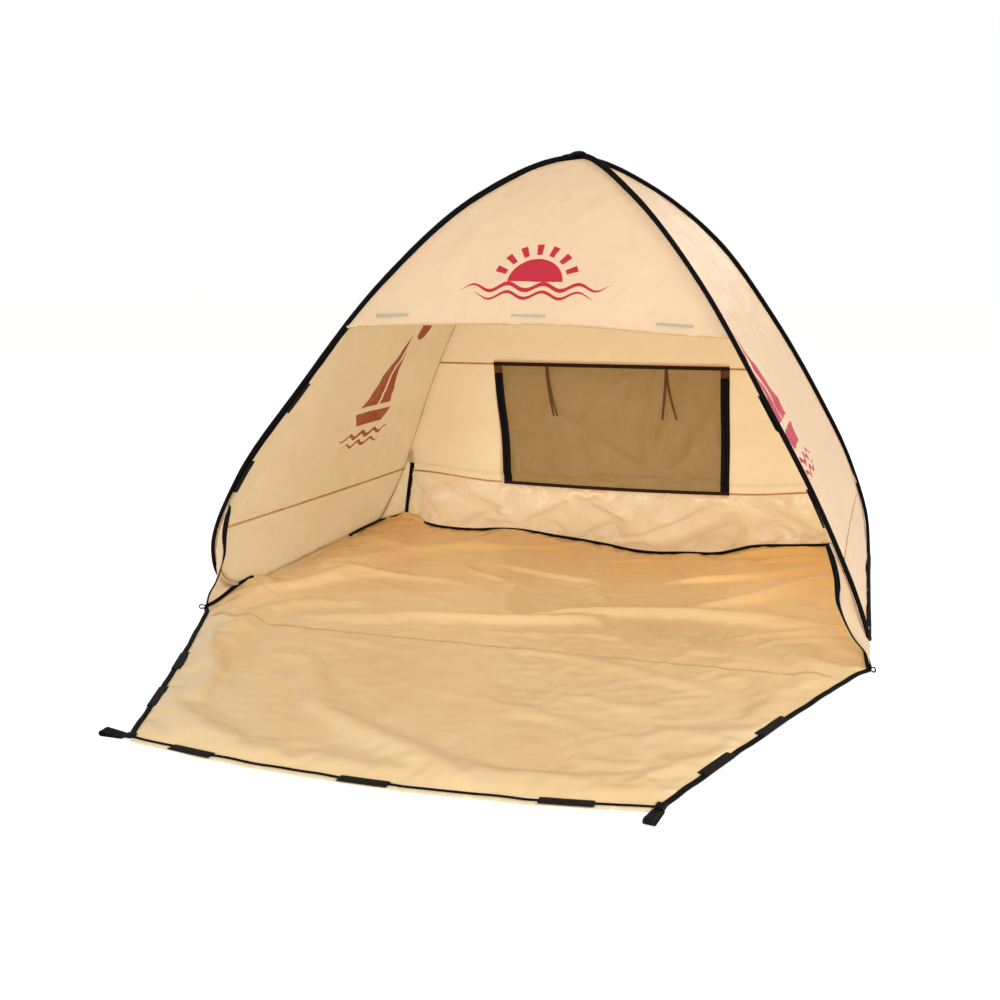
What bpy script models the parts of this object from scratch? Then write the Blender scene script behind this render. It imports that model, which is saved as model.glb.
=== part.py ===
"""Pop-up beach tent, metres, +Z up.

One looped spring wire crosses itself at the apex and runs in fabric sleeves. Thin panels are
stretched between the sleeves. The entrance looks along -Y, and the origin is on the ground under
the middle of the floor.
"""
import math

import bmesh
import bpy
from mathutils import Vector

# Driving sizes
FRONT_HALF_WIDTH = 1.000
FLOOR_DEPTH = 1.310
APEX_HEIGHT = 1.421
CLEARANCE = 0.0003
FRONT_EDGE_Y = -FLOOR_DEPTH / 2

# Spring wire, its ferrule and the sleeves
WIRE_RADIUS = 0.00225
WIRE_SIDE_COUNT = 6
WIRE_CROSSING = 0.008
FERRULE_LENGTH = 0.040
FERRULE_WALL = 0.0006
SLEEVE_RADIUS = 0.010
SLEEVE_BORE = 0.0065
SLEEVE_SIDE_COUNT = 8
SPAN_STEP_COUNT = 3
HALF_SIDE = math.pi / SLEEVE_SIDE_COUNT
GROUND_AXIS_Z = SLEEVE_RADIUS * math.cos(HALF_SIDE)

# Route of the wire: shares of half width, of floor depth from the front edge, and of height
APEX_BACK_SHARE = 0.562
FRONT_LEG_SHARES = (
    (0.250, 0.348, 0.898),
    (0.490, 0.197, 0.710),
    (0.700, 0.078, 0.482),
    (0.860, -0.006, 0.290),
    (0.950, -0.011, 0.146),
    (0.990, 0.060, 0.045),
)
GROUND_SHARES = (
    (0.995, 0.190, 0.000),
    (0.995, 0.420, 0.000),
    (0.995, 0.690, 0.000),
    (0.995, 0.915, 0.004),
)
REAR_LEG_SHARES = (
    (0.980, 1.030, 0.085),
    (0.910, 1.061, 0.228),
    (0.800, 1.008, 0.392),
    (0.620, 0.934, 0.616),
    (0.420, 0.868, 0.812),
    (0.200, 0.757, 0.942),
)

# Crown patch over the crossing
PATCH_REACH = 0.055
PATCH_WALL = 0.0025
PATCH_PLATE = 0.003
PANEL_SETBACK = 0.012
CUT_OVERRUN = 0.010

# Panels
PANEL_THICKNESS = 0.002
HEM_HEIGHT = 0.864
HEM_RISE = 0.013
GUSSET_TOP_HEIGHT = 0.345
WALL_SEAM_FRONT_HEIGHT = 0.27
WALL_BILLOW = 0.012
BACK_WALL_SAG = 0.045
CORNER_TOP_HEIGHT = 0.205
BACK_CORNER_SHARES = (0.928, 1.028)
SEAM_GAP = 0.0006
BINDING_GAP = 0.0009
HEADER_ROW_COUNT = 9
HEADER_COLUMN_COUNT = 8
MIDDLE_ROW_COUNT = 7
SEAM_ROW_COUNT = 2
BEND_ROW_COUNT = 6
WALL_COLUMN_COUNT = 6
SIDE_PANEL_COLUMN_COUNT = 3
GUSSET_COLUMN_COUNT = 3
GUSSET_STEP_COUNT = 2
SAG_POWER = 4

# Gusset edge: shares of half width, of floor depth and of the gusset's height
GUSSET_EDGE_SHARES = (
    (0.898, -0.016, 0.740),
    (0.918, -0.013, 0.500),
    (0.950, -0.007, 0.270),
    (0.998, 0.002, 0.035),
)
BINDING_WIDTH = 0.010
BINDING_THICKNESS = 0.003

# Window, its cover flap, side tapes and ties
WINDOW_HALF_WIDTH = 0.458
WINDOW_SHIFT = -0.017
WINDOW_TOP_HEIGHT = 0.680
WINDOW_BOTTOM_HEIGHT = 0.178
WINDOW_COLUMN_COUNT = 8
MESH_THICKNESS = 0.001
TAPE_WIDTH = 0.034
TAPE_COLUMN_COUNT = 2
TAPE_THICKNESS = 0.002
FLAP_MARGIN = 0.018
FLAP_THICKNESS = 0.002
TIE_SPACING = 0.480
TIE_WIDTH = 0.010
TIE_THICKNESS = 0.001
TIE_DROP = 0.205
TIE_TOP_INSET = 0.012
TIE_SWAYS = {"left": (0.019, 0.033), "right": (-0.019, 0.038)}
TIE_SWAY_POWER = 1.5
TIE_STEP_COUNT = 8

# Floor
FLOOR_THICKNESS = 0.003
FLOOR_BINDING_WIDTH = 0.012
FLOOR_BINDING_THICKNESS = 0.004
FLOOR_COLUMN_COUNT = 24
FLOOR_ROW_COUNT = 14
BACK_BOW_SHARES = ((-1.0, 0.0), (-0.94, 0.030), (-0.86, 0.095), (-0.62, 0.145), (-0.43, 0.108),
                   (-0.19, 0.160), (0.02, 0.214), (0.21, 0.270), (0.36, 0.248), (0.50, 0.226),
                   (0.62, 0.122), (0.80, 0.076), (0.92, 0.042), (1.0, 0.0))
BOW_STEP_COUNT = 4
SIDE_LEAD = 0.055
PIPING_WIDTH = 0.012
PIPING_THICKNESS = 0.004
SKIRT_ROW_COUNT = 4
SKIRT_DROP_POWER = 0.7
SKIRT_REACH_POWER = 1.6
HINGE_SETBACK = 0.010

# Door, the sheet in front of the entrance that folds up to close it
DOOR_LENGTH = 0.858
DOOR_NEAR_INSET = 0.015
DOOR_NEAR_HALF_WIDTH = FRONT_HALF_WIDTH - DOOR_NEAR_INSET
DOOR_FAR_HALF_WIDTH = 0.603
DOOR_FRONT_BOW = 0.055
DOOR_SIDE_HOLLOW = 0.010
DOOR_BINDING_WIDTH = 0.014
DOOR_COLUMN_COUNT = 22
DOOR_ROW_COUNT = 12
SIDE_BINDING_STEP_COUNT = 8
FRONT_BINDING_STEP_COUNT = 14

# Folds of the laid sheets: start, end, half width and height, the places as shares of the sheet
FOLD_WIDTH = 0.035
FOLD_HEIGHT = 0.010
FOLD_END_SHARE = 0.1
FOLD_FADE_SHARE = 0.125
FLOOR_FOLD_SHARES = (
    (-0.62, 0.34, 0.30, 0.42, 1.0, 1.0),
    (-0.20, 0.55, 0.75, 0.50, 1.2, 0.9),
    (0.10, 0.72, 0.85, 0.68, 0.9, 0.8),
    (-0.85, 0.62, -0.25, 0.80, 1.1, 0.7),
    (0.35, 0.20, 0.80, 0.26, 0.9, 0.6),
)
DOOR_FOLD_SHARES = (
    (-0.55, 0.18, 0.10, 0.30, 1.1, 0.9),
    (-0.10, 0.42, 0.62, 0.50, 1.0, 0.8),
    (-0.70, 0.60, -0.15, 0.72, 0.9, 0.8),
    (0.20, 0.72, 0.65, 0.66, 0.9, 0.7),
)

# Hook-and-loop pieces
TAB_LENGTH = 0.110
TAB_STEP_COUNT = 2
LEG_TAB_STEP_COUNT = 3
LEG_TAB_SETBACK = 0.002
TAB_WIDTH = 0.018
TAB_THICKNESS = 0.0025
LEG_TAB_HEIGHTS = (0.43, 0.665)
STRIP_LENGTH = 0.105
STRIP_WIDTH = 0.016
STRIP_HEIGHT = 0.892
STRIP_SETBACK = 0.085
DOOR_TAB_WIDTH = 0.024
DOOR_SIDE_TAB_SHARES = (0.50, 0.76)
DOOR_FRONT_TAB_SHARES = (-0.70, 0.0, 0.70)

# Webbing loops
PEG_LOOP_LENGTH = 0.062
PEG_LOOP_WIDTH = 0.025
PEG_LOOP_THICKNESS = 0.0016
PEG_LOOP_RADIUS = 0.0055
PEG_LOOP_TURNS = (math.radians(180), math.radians(262))
CORNER_LOOP_LENGTH = 0.019
CORNER_LOOP_WIDTH = 0.008
CORNER_LOOP_RADIUS = 0.0045
LOOP_ARC_STEP_COUNT = 8

UP = Vector((0, 0, 1))
ACROSS = Vector((1, 0, 0))
BACK = Vector((0, 1, 0))
SIDES = {"right": 1, "left": -1}


def material(name, colour, roughness, metallic=0.0):
    """A plain Principled material."""
    finish = bpy.data.materials.new(name)
    finish.use_nodes = True
    shader = finish.node_tree.nodes["Principled BSDF"]
    shader.inputs["Base Color"].default_value = (*colour, 1)
    shader.inputs["Roughness"].default_value = roughness
    shader.inputs["Metallic"].default_value = metallic
    return finish


def add_piece(name, points, faces, finish, origin=Vector()):
    """One object from points in world space, with its own material and its origin at `origin`."""
    mesh = bpy.data.meshes.new(name)
    mesh.from_pydata([point - origin for point in points], [], faces)
    body = bmesh.new()
    body.from_mesh(mesh)
    bmesh.ops.recalc_face_normals(body, faces=body.faces)
    body.to_mesh(mesh)
    body.free()
    mesh.materials.append(material(name, *finish))
    piece = bpy.data.objects.new(name, mesh)
    piece.location = origin
    bpy.context.scene.collection.objects.link(piece)
    return piece


def skin_sections(sections, bores=None):
    """Points and faces of a body through matching sections, solid or with a bore right through."""
    size = len(sections[0])
    points = [point for section in sections for point in section]
    faces = []

    def skin(start, count):
        for row in range(count - 1):
            for i in range(size):
                j = (i + 1) % size
                low, high = start + row * size, start + (row + 1) * size
                faces.append((low + i, low + j, high + j, high + i))

    skin(0, len(sections))
    last = (len(sections) - 1) * size
    if bores is None:
        faces.append(tuple(range(size)))
        faces.append(tuple(range(last, last + size)))
        return points, faces
    offset = len(points)
    points += [point for bore in bores for point in bore]
    skin(offset, len(bores))
    for base in (0, last):
        for i in range(size):
            j = (i + 1) % size
            faces.append((base + i, base + j, offset + base + j, offset + base + i))
    return points, faces


def skin_sheets(top, bottom):
    """Points and faces of a thin body between two matching grids."""
    rows, columns = len(top), len(top[0])
    points = [point for row in top for point in row] + [point for row in bottom for point in row]
    under = rows * columns
    faces = []
    for row in range(rows - 1):
        for column in range(columns - 1):
            corner = row * columns + column
            quad = (corner, corner + 1, corner + columns + 1, corner + columns)
            faces.append(quad)
            faces.append(tuple(under + index for index in quad))
    rim = [column for column in range(columns)]
    rim += [row * columns + columns - 1 for row in range(1, rows)]
    rim += [(rows - 1) * columns + column for column in range(columns - 2, -1, -1)]
    rim += [row * columns for row in range(rows - 2, 0, -1)]
    for here, there in zip(rim, rim[1:] + rim[:1]):
        faces.append((here, there, under + there, under + here))
    return points, faces


def grid_normals(grid, toward):
    """Unit normals of a grid of points, on the side that mostly looks `toward` a direction."""
    rows, columns = len(grid), len(grid[0])
    normals = []
    total = Vector()
    for row in range(rows):
        line = []
        for column in range(columns):
            along = grid[row][min(column + 1, columns - 1)] - grid[row][max(column - 1, 0)]
            down = grid[min(row + 1, rows - 1)][column] - grid[max(row - 1, 0)][column]
            line.append(along.cross(down).normalized())
            total += line[-1]
        normals.append(line)
    if total.dot(toward) > 0:
        return normals
    return [[-normal for normal in line] for line in normals]


def add_sheet(name, grid, thickness, finish, toward, origin=Vector(), lift=0):
    """A sheet of even thickness round a grid, moved by `lift` to the side of `toward`."""
    normals = grid_normals(grid, toward)
    faces = []
    for offset in (lift + thickness / 2, lift - thickness / 2):
        faces.append([[point + normal * offset for point, normal in zip(points, line)]
                      for points, line in zip(grid, normals)])
    return add_piece(name, *skin_sheets(*faces), finish, origin)


def add_tape(name, line, widths, normals, width, thickness, finish, origin=Vector()):
    """A flat tape along a line, with its width and normal directions at each point."""
    sections = []
    for point, across, normal in zip(line, widths, normals):
        half_width, half_thickness = across * (width / 2), normal * (thickness / 2)
        sections.append([point + half_width + half_thickness, point - half_width + half_thickness,
                         point - half_width - half_thickness, point + half_width - half_thickness])
    return add_piece(name, *skin_sections(sections), finish, origin)


def smooth_line(knots, steps, closed=False):
    """A smooth curve through the knots, each span in `steps` parts, as a list of points."""
    count = len(knots)
    spans = count if closed else count - 1

    def knot(index):
        return knots[index % count] if closed else knots[max(0, min(count - 1, index))]

    def slope(index):
        before, here, after = knot(index - 1), knot(index), knot(index + 1)
        first, second = (here - before).length, (after - here).length
        if first == 0 or second == 0:
            return (after - before) / (first + second)
        return ((here - before) * (second / first) + (after - here) * (first / second)) / (first + second)

    line = []
    for span in range(spans):
        start, end = knot(span), knot(span + 1)
        length = (end - start).length
        for step in range(steps):
            t = step / steps
            leaving = slope(span) * (length * (t ** 3 - 2 * t ** 2 + t))
            arriving = slope(span + 1) * (length * (t ** 3 - t ** 2))
            blend = start * (2 * t ** 3 - 3 * t ** 2 + 1) + end * (3 * t ** 2 - 2 * t ** 3)
            line.append(blend + leaving + arriving)
    if not closed:
        line.append(knot(count - 1))
    return line


def lengths_along(line):
    """Running length at each point of a line."""
    lengths = [0.0]
    for here, there in zip(line, line[1:]):
        lengths.append(lengths[-1] + (there - here).length)
    return lengths


def point_at(line, length):
    """Point and unit direction of a line at a running length."""
    lengths = lengths_along(line)
    for index in range(1, len(line)):
        if length <= lengths[index] or index == len(line) - 1:
            break
    span = lengths[index] - lengths[index - 1]
    share = (length - lengths[index - 1]) / span
    directions = [line_direction(line, index - 1), line_direction(line, index)]
    direction = directions[0].lerp(directions[1], max(0.0, min(1.0, share))).normalized()
    return line[index - 1].lerp(line[index], share), direction


def line_direction(line, index):
    """Unit direction of a line at one of its points."""
    return (line[min(index + 1, len(line) - 1)] - line[max(index - 1, 0)]).normalized()


def length_at_height(line, height):
    """Running length where a line that starts high first comes down to a height."""
    lengths = lengths_along(line)
    for index in range(1, len(line)):
        if line[index].z <= height:
            share = (line[index - 1].z - height) / (line[index - 1].z - line[index].z)
            return lengths[index - 1] + share * (lengths[index] - lengths[index - 1])
    return lengths[-1]


def part_of_line(line, start, end):
    """The stretch of a line between two running lengths."""
    lengths = lengths_along(line)
    inside = [point for point, length in zip(line, lengths) if start < length < end]
    return [point_at(line, start)[0]] + inside + [point_at(line, end)[0]]


def square_to(direction, along):
    """The unit direction nearest to `direction` that is square to `along`."""
    return (direction - along * direction.dot(along)).normalized()


def ring_sections(line, radius, sides, end=None):
    """Regular sections round a line, with flat sides facing sideways and down."""
    sections = []
    for index, point in enumerate(line):
        along = line_direction(line, index)
        if end and index == len(line) - 1:
            along = end
        side = square_to(ACROSS, along)
        rise = along.cross(side)
        angles = [math.pi / sides + 2 * math.pi * k / sides for k in range(sides)]
        sections.append([point + (side * math.cos(a) + rise * math.sin(a)) * radius for a in angles])
    return sections


def station(shares):
    """A place given as shares of the half width, the floor depth and the height."""
    return Vector((shares[0] * FRONT_HALF_WIDTH, FRONT_EDGE_Y + shares[1] * FLOOR_DEPTH,
                   GROUND_AXIS_Z + shares[2] * (APEX_HEIGHT - GROUND_AXIS_Z)))


def mirrored(point, side):
    """The point itself on the right, and its mirror image on the left."""
    return Vector((point.x * side, point.y, point.z))


def wire_route():
    """The closed route of the wire, and the index of each knot on it."""
    lobe = [station(shares) for shares in FRONT_LEG_SHARES + GROUND_SHARES + REAR_LEG_SHARES]
    apex = station((0, APEX_BACK_SHARE, 1))
    knots = []
    for side in (1, -1):
        knots.append(apex + UP * (side * WIRE_CROSSING / 2))
        knots += [mirrored(point, side) for point in lobe]
    route = smooth_line(knots, SPAN_STEP_COUNT, closed=True)
    for point in route:
        point.z = max(point.z, GROUND_AXIS_Z)
    return route


ROUTE = wire_route()
LOBE = len(ROUTE) // 2
FRONT_COUNT = (len(FRONT_LEG_SHARES) + 1) * SPAN_STEP_COUNT
GROUND_COUNT = (len(GROUND_SHARES) - 1) * SPAN_STEP_COUNT


def stretch(start, count):
    """Points of the route from an index on, going round past its end."""
    return [ROUTE[(start + step) % len(ROUTE)] for step in range(count + 1)]


def front_leg(side):
    """Route of a front leg, from the apex down to the ground."""
    return stretch(0 if side > 0 else LOBE, FRONT_COUNT)


def ground_run(side):
    """Route along the ground, from the front to the back."""
    return stretch(FRONT_COUNT + (0 if side > 0 else LOBE), GROUND_COUNT)


def rear_leg(side):
    """Route of a rear leg, from the apex down to the ground."""
    start = FRONT_COUNT + GROUND_COUNT + (0 if side > 0 else LOBE)
    return stretch(start, LOBE - FRONT_COUNT - GROUND_COUNT)[::-1]


INSIDE = Vector((0, 0, APEX_HEIGHT / 3))
SKIN_OFFSET = SLEEVE_RADIUS * math.cos(HALF_SIDE) + 2 * CLEARANCE + PANEL_THICKNESS / 2
PANEL_START = PATCH_REACH + PANEL_SETBACK

BLACK_FABRIC = ((0.012, 0.012, 0.013), 0.7)
SAND_FABRIC = ((0.88, 0.66, 0.38), 0.55)
FLOOR_FABRIC = ((0.75, 0.52, 0.26), 0.4)
MESH_FABRIC = ((0.35, 0.23, 0.10), 0.7)
TIE_FABRIC = ((0.12, 0.05, 0.015), 0.8)
HOOK_FABRIC = ((0.62, 0.60, 0.52), 0.8)
STEEL = ((0.55, 0.56, 0.58), 0.35, 1.0)


def inward_normal(along, toward, point):
    """The normal of a panel beside a sleeve, pointing into the tent."""
    normal = along.cross(square_to(toward, along)).normalized()
    return normal if normal.dot(INSIDE - point) > 0 else -normal


def panel_edge(point, along, toward, neighbour):
    """Edge of the panel that leaves a sleeve `toward` one way, where it meets its neighbour."""
    own = inward_normal(along, toward, point)
    other = inward_normal(along, neighbour, point)
    half_turn = own.angle(other) / 2
    corner = (own + other).normalized() * (SKIN_OFFSET / math.cos(half_turn))
    setback = PANEL_THICKNESS / 2 * math.tan(half_turn) + SEAM_GAP
    return point + corner + square_to(toward, along) * setback


def edge_behind(point, along, side, lead):
    """Edge of a panel that passes inside a sleeve, `lead` behind the sleeve's axis."""
    inward = square_to(ACROSS * -side, along)
    return point + inward * SKIN_OFFSET + along.cross(inward) * (side * lead)


def across_row(start, end, columns):
    """Evenly spaced points from one edge of a panel to the other."""
    return [start.lerp(end, column / columns) for column in range(columns + 1)]


def shares_between(start, end, count):
    """Evenly spaced values from start to end, both included."""
    return [start + (end - start) * step / count for step in range(count + 1)]


def rows_between(marks, counts):
    """Running lengths in even steps between marks, with a count of steps for each stretch."""
    rows = [marks[0]]
    for start, end, count in zip(marks, marks[1:], counts):
        rows += shares_between(start, end, count)[1:]
    return rows


def front_rows():
    """Running lengths of the panel rows on a front leg, from the crown down to the ground."""
    leg = front_leg(1)
    heights = (HEM_HEIGHT, GUSSET_TOP_HEIGHT, WALL_SEAM_FRONT_HEIGHT)
    marks = [length_at_height(leg, height) for height in heights]
    counts = (HEADER_ROW_COUNT, MIDDLE_ROW_COUNT - SEAM_ROW_COUNT, SEAM_ROW_COUNT, BEND_ROW_COUNT)
    return rows_between([PANEL_START] + marks + [lengths_along(leg)[-1]], counts)


def rear_rows():
    """Running lengths of the panel rows on a rear leg, paired with those of the front leg."""
    leg = rear_leg(1)
    marks = [length_at_height(leg, height) for height in (WINDOW_TOP_HEIGHT, CORNER_TOP_HEIGHT)]
    counts = (HEADER_ROW_COUNT, MIDDLE_ROW_COUNT, BEND_ROW_COUNT)
    return rows_between([PANEL_START] + marks + [lengths_along(leg)[-1]], counts)


SEAM_ROW = HEADER_ROW_COUNT + MIDDLE_ROW_COUNT
GUSSET_ROW = SEAM_ROW - SEAM_ROW_COUNT


def add_wire():
    """The spring wire, open by a hair where its two ends meet in the ferrule."""
    middle = FRONT_COUNT + GROUND_COUNT // 2
    loop = stretch(middle, len(ROUTE))
    total = lengths_along(loop)[-1]
    line = part_of_line(loop, CLEARANCE / 2, total - CLEARANCE / 2)
    add_piece("spring_wire", *skin_sections(ring_sections(line, WIRE_RADIUS, WIRE_SIDE_COUNT)), STEEL)
    around = stretch(middle - SPAN_STEP_COUNT, 2 * SPAN_STEP_COUNT)
    centre = lengths_along(around)[SPAN_STEP_COUNT]
    grip = part_of_line(around, centre - FERRULE_LENGTH / 2, centre + FERRULE_LENGTH / 2)
    bore = (WIRE_RADIUS + CLEARANCE) / math.cos(math.pi / WIRE_SIDE_COUNT)
    add_piece("wire_ferrule", *skin_sections(ring_sections(grip, bore + FERRULE_WALL, WIRE_SIDE_COUNT),
                                             ring_sections(grip, bore, WIRE_SIDE_COUNT)), STEEL)


def add_sleeve(name, line, end):
    """A fabric tube along a line, its last section square to `end`."""
    outer = ring_sections(line, SLEEVE_RADIUS, SLEEVE_SIDE_COUNT, end)
    bore = ring_sections(line, SLEEVE_BORE, SLEEVE_SIDE_COUNT, end)
    add_piece(name, *skin_sections(outer, bore), BLACK_FABRIC)


def add_sleeves():
    """Six sleeves: two front legs, two rear legs and the two runs along the ground."""
    for name, side in SIDES.items():
        run = ground_run(side)
        run_length = lengths_along(run)[-1]
        for piece, leg, foot in (("front_leg_sleeve", front_leg(side), run[0] - run[1]),
                                 ("rear_leg_sleeve", rear_leg(side), run[-1] - run[-2])):
            line = part_of_line(leg, PATCH_REACH + CLEARANCE, lengths_along(leg)[-1] - CLEARANCE / 2)
            add_sleeve(f"{piece}_{name}", line, -foot.normalized())
        line = part_of_line(run, CLEARANCE / 2, run_length - CLEARANCE / 2)
        add_sleeve(f"ground_sleeve_{name}", line, (run[-1] - run[-2]).normalized())


def crossing_line(index, reach):
    """The route through the apex, `reach` to each side of the point at an index."""
    around = stretch(index - 2 * SPAN_STEP_COUNT, 4 * SPAN_STEP_COUNT)
    centre = lengths_along(around)[2 * SPAN_STEP_COUNT]
    return part_of_line(around, centre - reach, centre + reach)


def add_boolean(piece, name, points, faces, operation):
    """Join to, or cut from, a piece with a hidden tool shape."""
    tool = add_piece(name, points, faces, BLACK_FABRIC)
    tool.hide_render = True
    tool.display_type = "WIRE"
    step = piece.modifiers.new(name, "BOOLEAN")
    step.operation = operation
    step.object = tool


def add_crown():
    """The patch that holds the crossing: two crossed tubes on a plate, with a tunnel for each wire."""
    radius = SLEEVE_RADIUS + PATCH_WALL
    upper = skin_sections(ring_sections(crossing_line(0, PATCH_REACH), radius, SLEEVE_SIDE_COUNT))
    crown = add_piece("crown_patch", *upper, BLACK_FABRIC)
    lower = skin_sections(ring_sections(crossing_line(LOBE, PATCH_REACH), radius, SLEEVE_SIDE_COUNT))
    add_boolean(crown, "crown_cross_tool", *lower, "UNION")
    rim = []
    for leg in (front_leg(-1), front_leg(1), rear_leg(1), rear_leg(-1)):
        rim.append(point_at(leg, PATCH_REACH)[0] - UP * (SLEEVE_RADIUS + CLEARANCE))
    centre = sum(rim, Vector()) / len(rim)
    points = [centre] + rim
    points += [point - UP * PATCH_PLATE for point in points]
    faces = []
    for i in range(1, 5):
        j = i % 4 + 1
        faces += [(0, i, j), (5, 5 + j, 5 + i), (i, 5 + i, 5 + j, j)]
    add_boolean(crown, "crown_plate_tool", points, faces, "UNION")
    for name, index in (("upper_tunnel_tool", 0), ("lower_tunnel_tool", LOBE)):
        bore = (WIRE_RADIUS + CLEARANCE) / math.cos(math.pi / WIRE_SIDE_COUNT)
        line = crossing_line(index, PATCH_REACH + CUT_OVERRUN)
        add_boolean(crown, name, *skin_sections(ring_sections(line, bore, WIRE_SIDE_COUNT)), "DIFFERENCE")


def header_edge(side, length):
    """Edge of the header beside a front leg."""
    point, along = point_at(front_leg(side), length)
    ratio = (rear_rows()[HEADER_ROW_COUNT] - PANEL_START) / (front_rows()[HEADER_ROW_COUNT] - PANEL_START)
    rear = point_at(rear_leg(side), PANEL_START + (length - PANEL_START) * ratio)[0]
    return panel_edge(point, along, ACROSS * -side, rear - point)


def header_row(length, columns):
    """A row of the header from the left leg to the right leg, a little higher in the middle."""
    row = across_row(header_edge(-1, length), header_edge(1, length), columns)
    reach = length_at_height(front_leg(1), HEM_HEIGHT)
    for column, point in enumerate(row):
        share = column / columns
        point.z += HEM_RISE * (length / reach) ** 2 * math.sin(math.pi * share)
    return row


def add_header():
    """The panel above the entrance, and three hook-and-loop strips on its hem."""
    grid = [header_row(length, HEADER_COLUMN_COUNT) for length in front_rows()[:HEADER_ROW_COUNT + 1]]
    add_sheet("header_panel", grid, PANEL_THICKNESS, SAND_FABRIC, -BACK)
    middle = length_at_height(front_leg(1), STRIP_HEIGHT)
    lift = PANEL_THICKNESS / 2 + CLEARANCE + TAB_THICKNESS / 2
    outer = lengths_along(header_row(middle, HEADER_COLUMN_COUNT))[-1] / 2 - STRIP_SETBACK - STRIP_LENGTH / 2
    for name, place in (("left", -outer), ("middle", 0), ("right", outer)):
        rows = []
        for length in (middle - STRIP_WIDTH / 2, middle + STRIP_WIDTH / 2):
            row = header_row(length, HEADER_COLUMN_COUNT)
            line = lengths_along(row)[-1] / 2 + place
            offsets = shares_between(-STRIP_LENGTH / 2, STRIP_LENGTH / 2, TAB_STEP_COUNT)
            rows.append([point_at(row, line + offset)[0] for offset in offsets])
        add_sheet(f"header_strip_{name}", rows, TAB_THICKNESS, HOOK_FABRIC, -BACK, lift=lift)


def wall_edges(side, row):
    """Front and rear edge points of a side wall at one of its rows."""
    front, front_along = point_at(front_leg(side), front_rows()[row])
    rear, rear_along = point_at(rear_leg(side), rear_rows()[row])
    inwards = ACROSS * -side
    lead = PANEL_THICKNESS / 2 + CLEARANCE
    start = edge_behind(front, front_along, side, lead)
    if row < GUSSET_ROW:
        start = panel_edge(front, front_along, rear - front, inwards)
    end = edge_behind(rear, rear_along, side, -lead)
    if row < SEAM_ROW:
        end = panel_edge(rear, rear_along, front - rear, inwards)
    return start, end


def wall_row(side, row, gap_up=0):
    """A row of a side wall, pushed out a little in the middle by the fabric's slack."""
    start, end = wall_edges(side, row)
    points = across_row(start, end, WALL_COLUMN_COUNT)
    fullness = max(0.0, math.sin(math.pi * min(1.0, start.z / APEX_HEIGHT)))
    for column, point in enumerate(points):
        point.x -= side * WALL_BILLOW * fullness * math.sin(math.pi * column / WALL_COLUMN_COUNT)
        point.z += gap_up
    return points


def ground_row(side):
    """The bottom row of a side wall, just inside the ground sleeve."""
    start, end = wall_edges(side, SEAM_ROW + BEND_ROW_COUNT)
    return across_row(start, end, WALL_COLUMN_COUNT)


def add_side_walls():
    """Upper and lower panel of each side wall, seamed together low down."""
    for name, side in SIDES.items():
        grid = [wall_row(side, row) for row in range(SEAM_ROW)] + [wall_row(side, SEAM_ROW, CLEARANCE / 2)]
        add_sheet(f"side_wall_{name}", grid, PANEL_THICKNESS, SAND_FABRIC, ACROSS * side)
        grid = [wall_row(side, SEAM_ROW, -CLEARANCE / 2)]
        grid += [wall_row(side, SEAM_ROW + step) for step in range(1, BEND_ROW_COUNT)]
        grid.append(ground_row(side))
        add_sheet(f"side_wall_base_{name}", grid, PANEL_THICKNESS, SAND_FABRIC, ACROSS * side)


def gusset_line(side):
    """The front edge of a front gusset, from the leg down to the floor's corner."""
    leg = front_leg(side)
    point, along = point_at(leg, front_rows()[GUSSET_ROW])
    lead = PANEL_THICKNESS + BINDING_GAP
    top = edge_behind(point, along, side, -lead) - ACROSS * (side * BINDING_WIDTH)
    knots = [top]
    for across, back, up in GUSSET_EDGE_SHARES:
        knots.append(Vector((side * across * FRONT_HALF_WIDTH, FRONT_EDGE_Y + back * FLOOR_DEPTH,
                             up * GUSSET_TOP_HEIGHT)))
    return smooth_line(knots, GUSSET_STEP_COUNT)


def corner_line(side):
    """The corner edge between back wall and rear gusset, from the rear leg down to the floor."""
    leg = rear_leg(side)
    point, along = point_at(leg, rear_rows()[SEAM_ROW])
    lead = PANEL_THICKNESS + BINDING_GAP
    top = edge_behind(point, along, side, lead) - ACROSS * (side * BINDING_WIDTH)
    across, back = BACK_CORNER_SHARES
    foot = Vector((side * across * FRONT_HALF_WIDTH, FRONT_EDGE_Y + back * FLOOR_DEPTH,
                   FLOOR_BINDING_THICKNESS + BINDING_WIDTH / 2 + CLEARANCE))
    return across_row(top, foot, BEND_ROW_COUNT)


def bend_points(leg, rows, side, lead):
    """Points just inside a sleeve at the given running lengths."""
    return [edge_behind(*point_at(leg, length), side, lead) for length in rows]


def add_gusset(name, side, near, edge):
    """A triangular panel between the wire's bend and its own bound edge, with the binding."""
    rows, widths, normals = [], [], []
    for index, (low, high) in enumerate(zip(near, edge)):
        along = line_direction(edge, index)
        outward = (high - low).normalized()
        widths.append(square_to(-outward, along))
        normals.append(along.cross(widths[-1]))
        end = high - outward * ((BINDING_WIDTH / 2 + BINDING_GAP) / widths[-1].dot(-outward))
        rows.append(across_row(low, end, GUSSET_COLUMN_COUNT))
        for point, share in zip(rows[-1], shares_between(0, 1, GUSSET_COLUMN_COUNT)):
            point.x = low.x + (end.x - low.x) * share * share
    add_sheet(f"{name}_{side}", rows, PANEL_THICKNESS, SAND_FABRIC, ACROSS * SIDES[side])
    add_tape(f"{name}_binding_{side}", edge, widths, normals, BINDING_WIDTH, BINDING_THICKNESS,
             BLACK_FABRIC)


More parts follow.
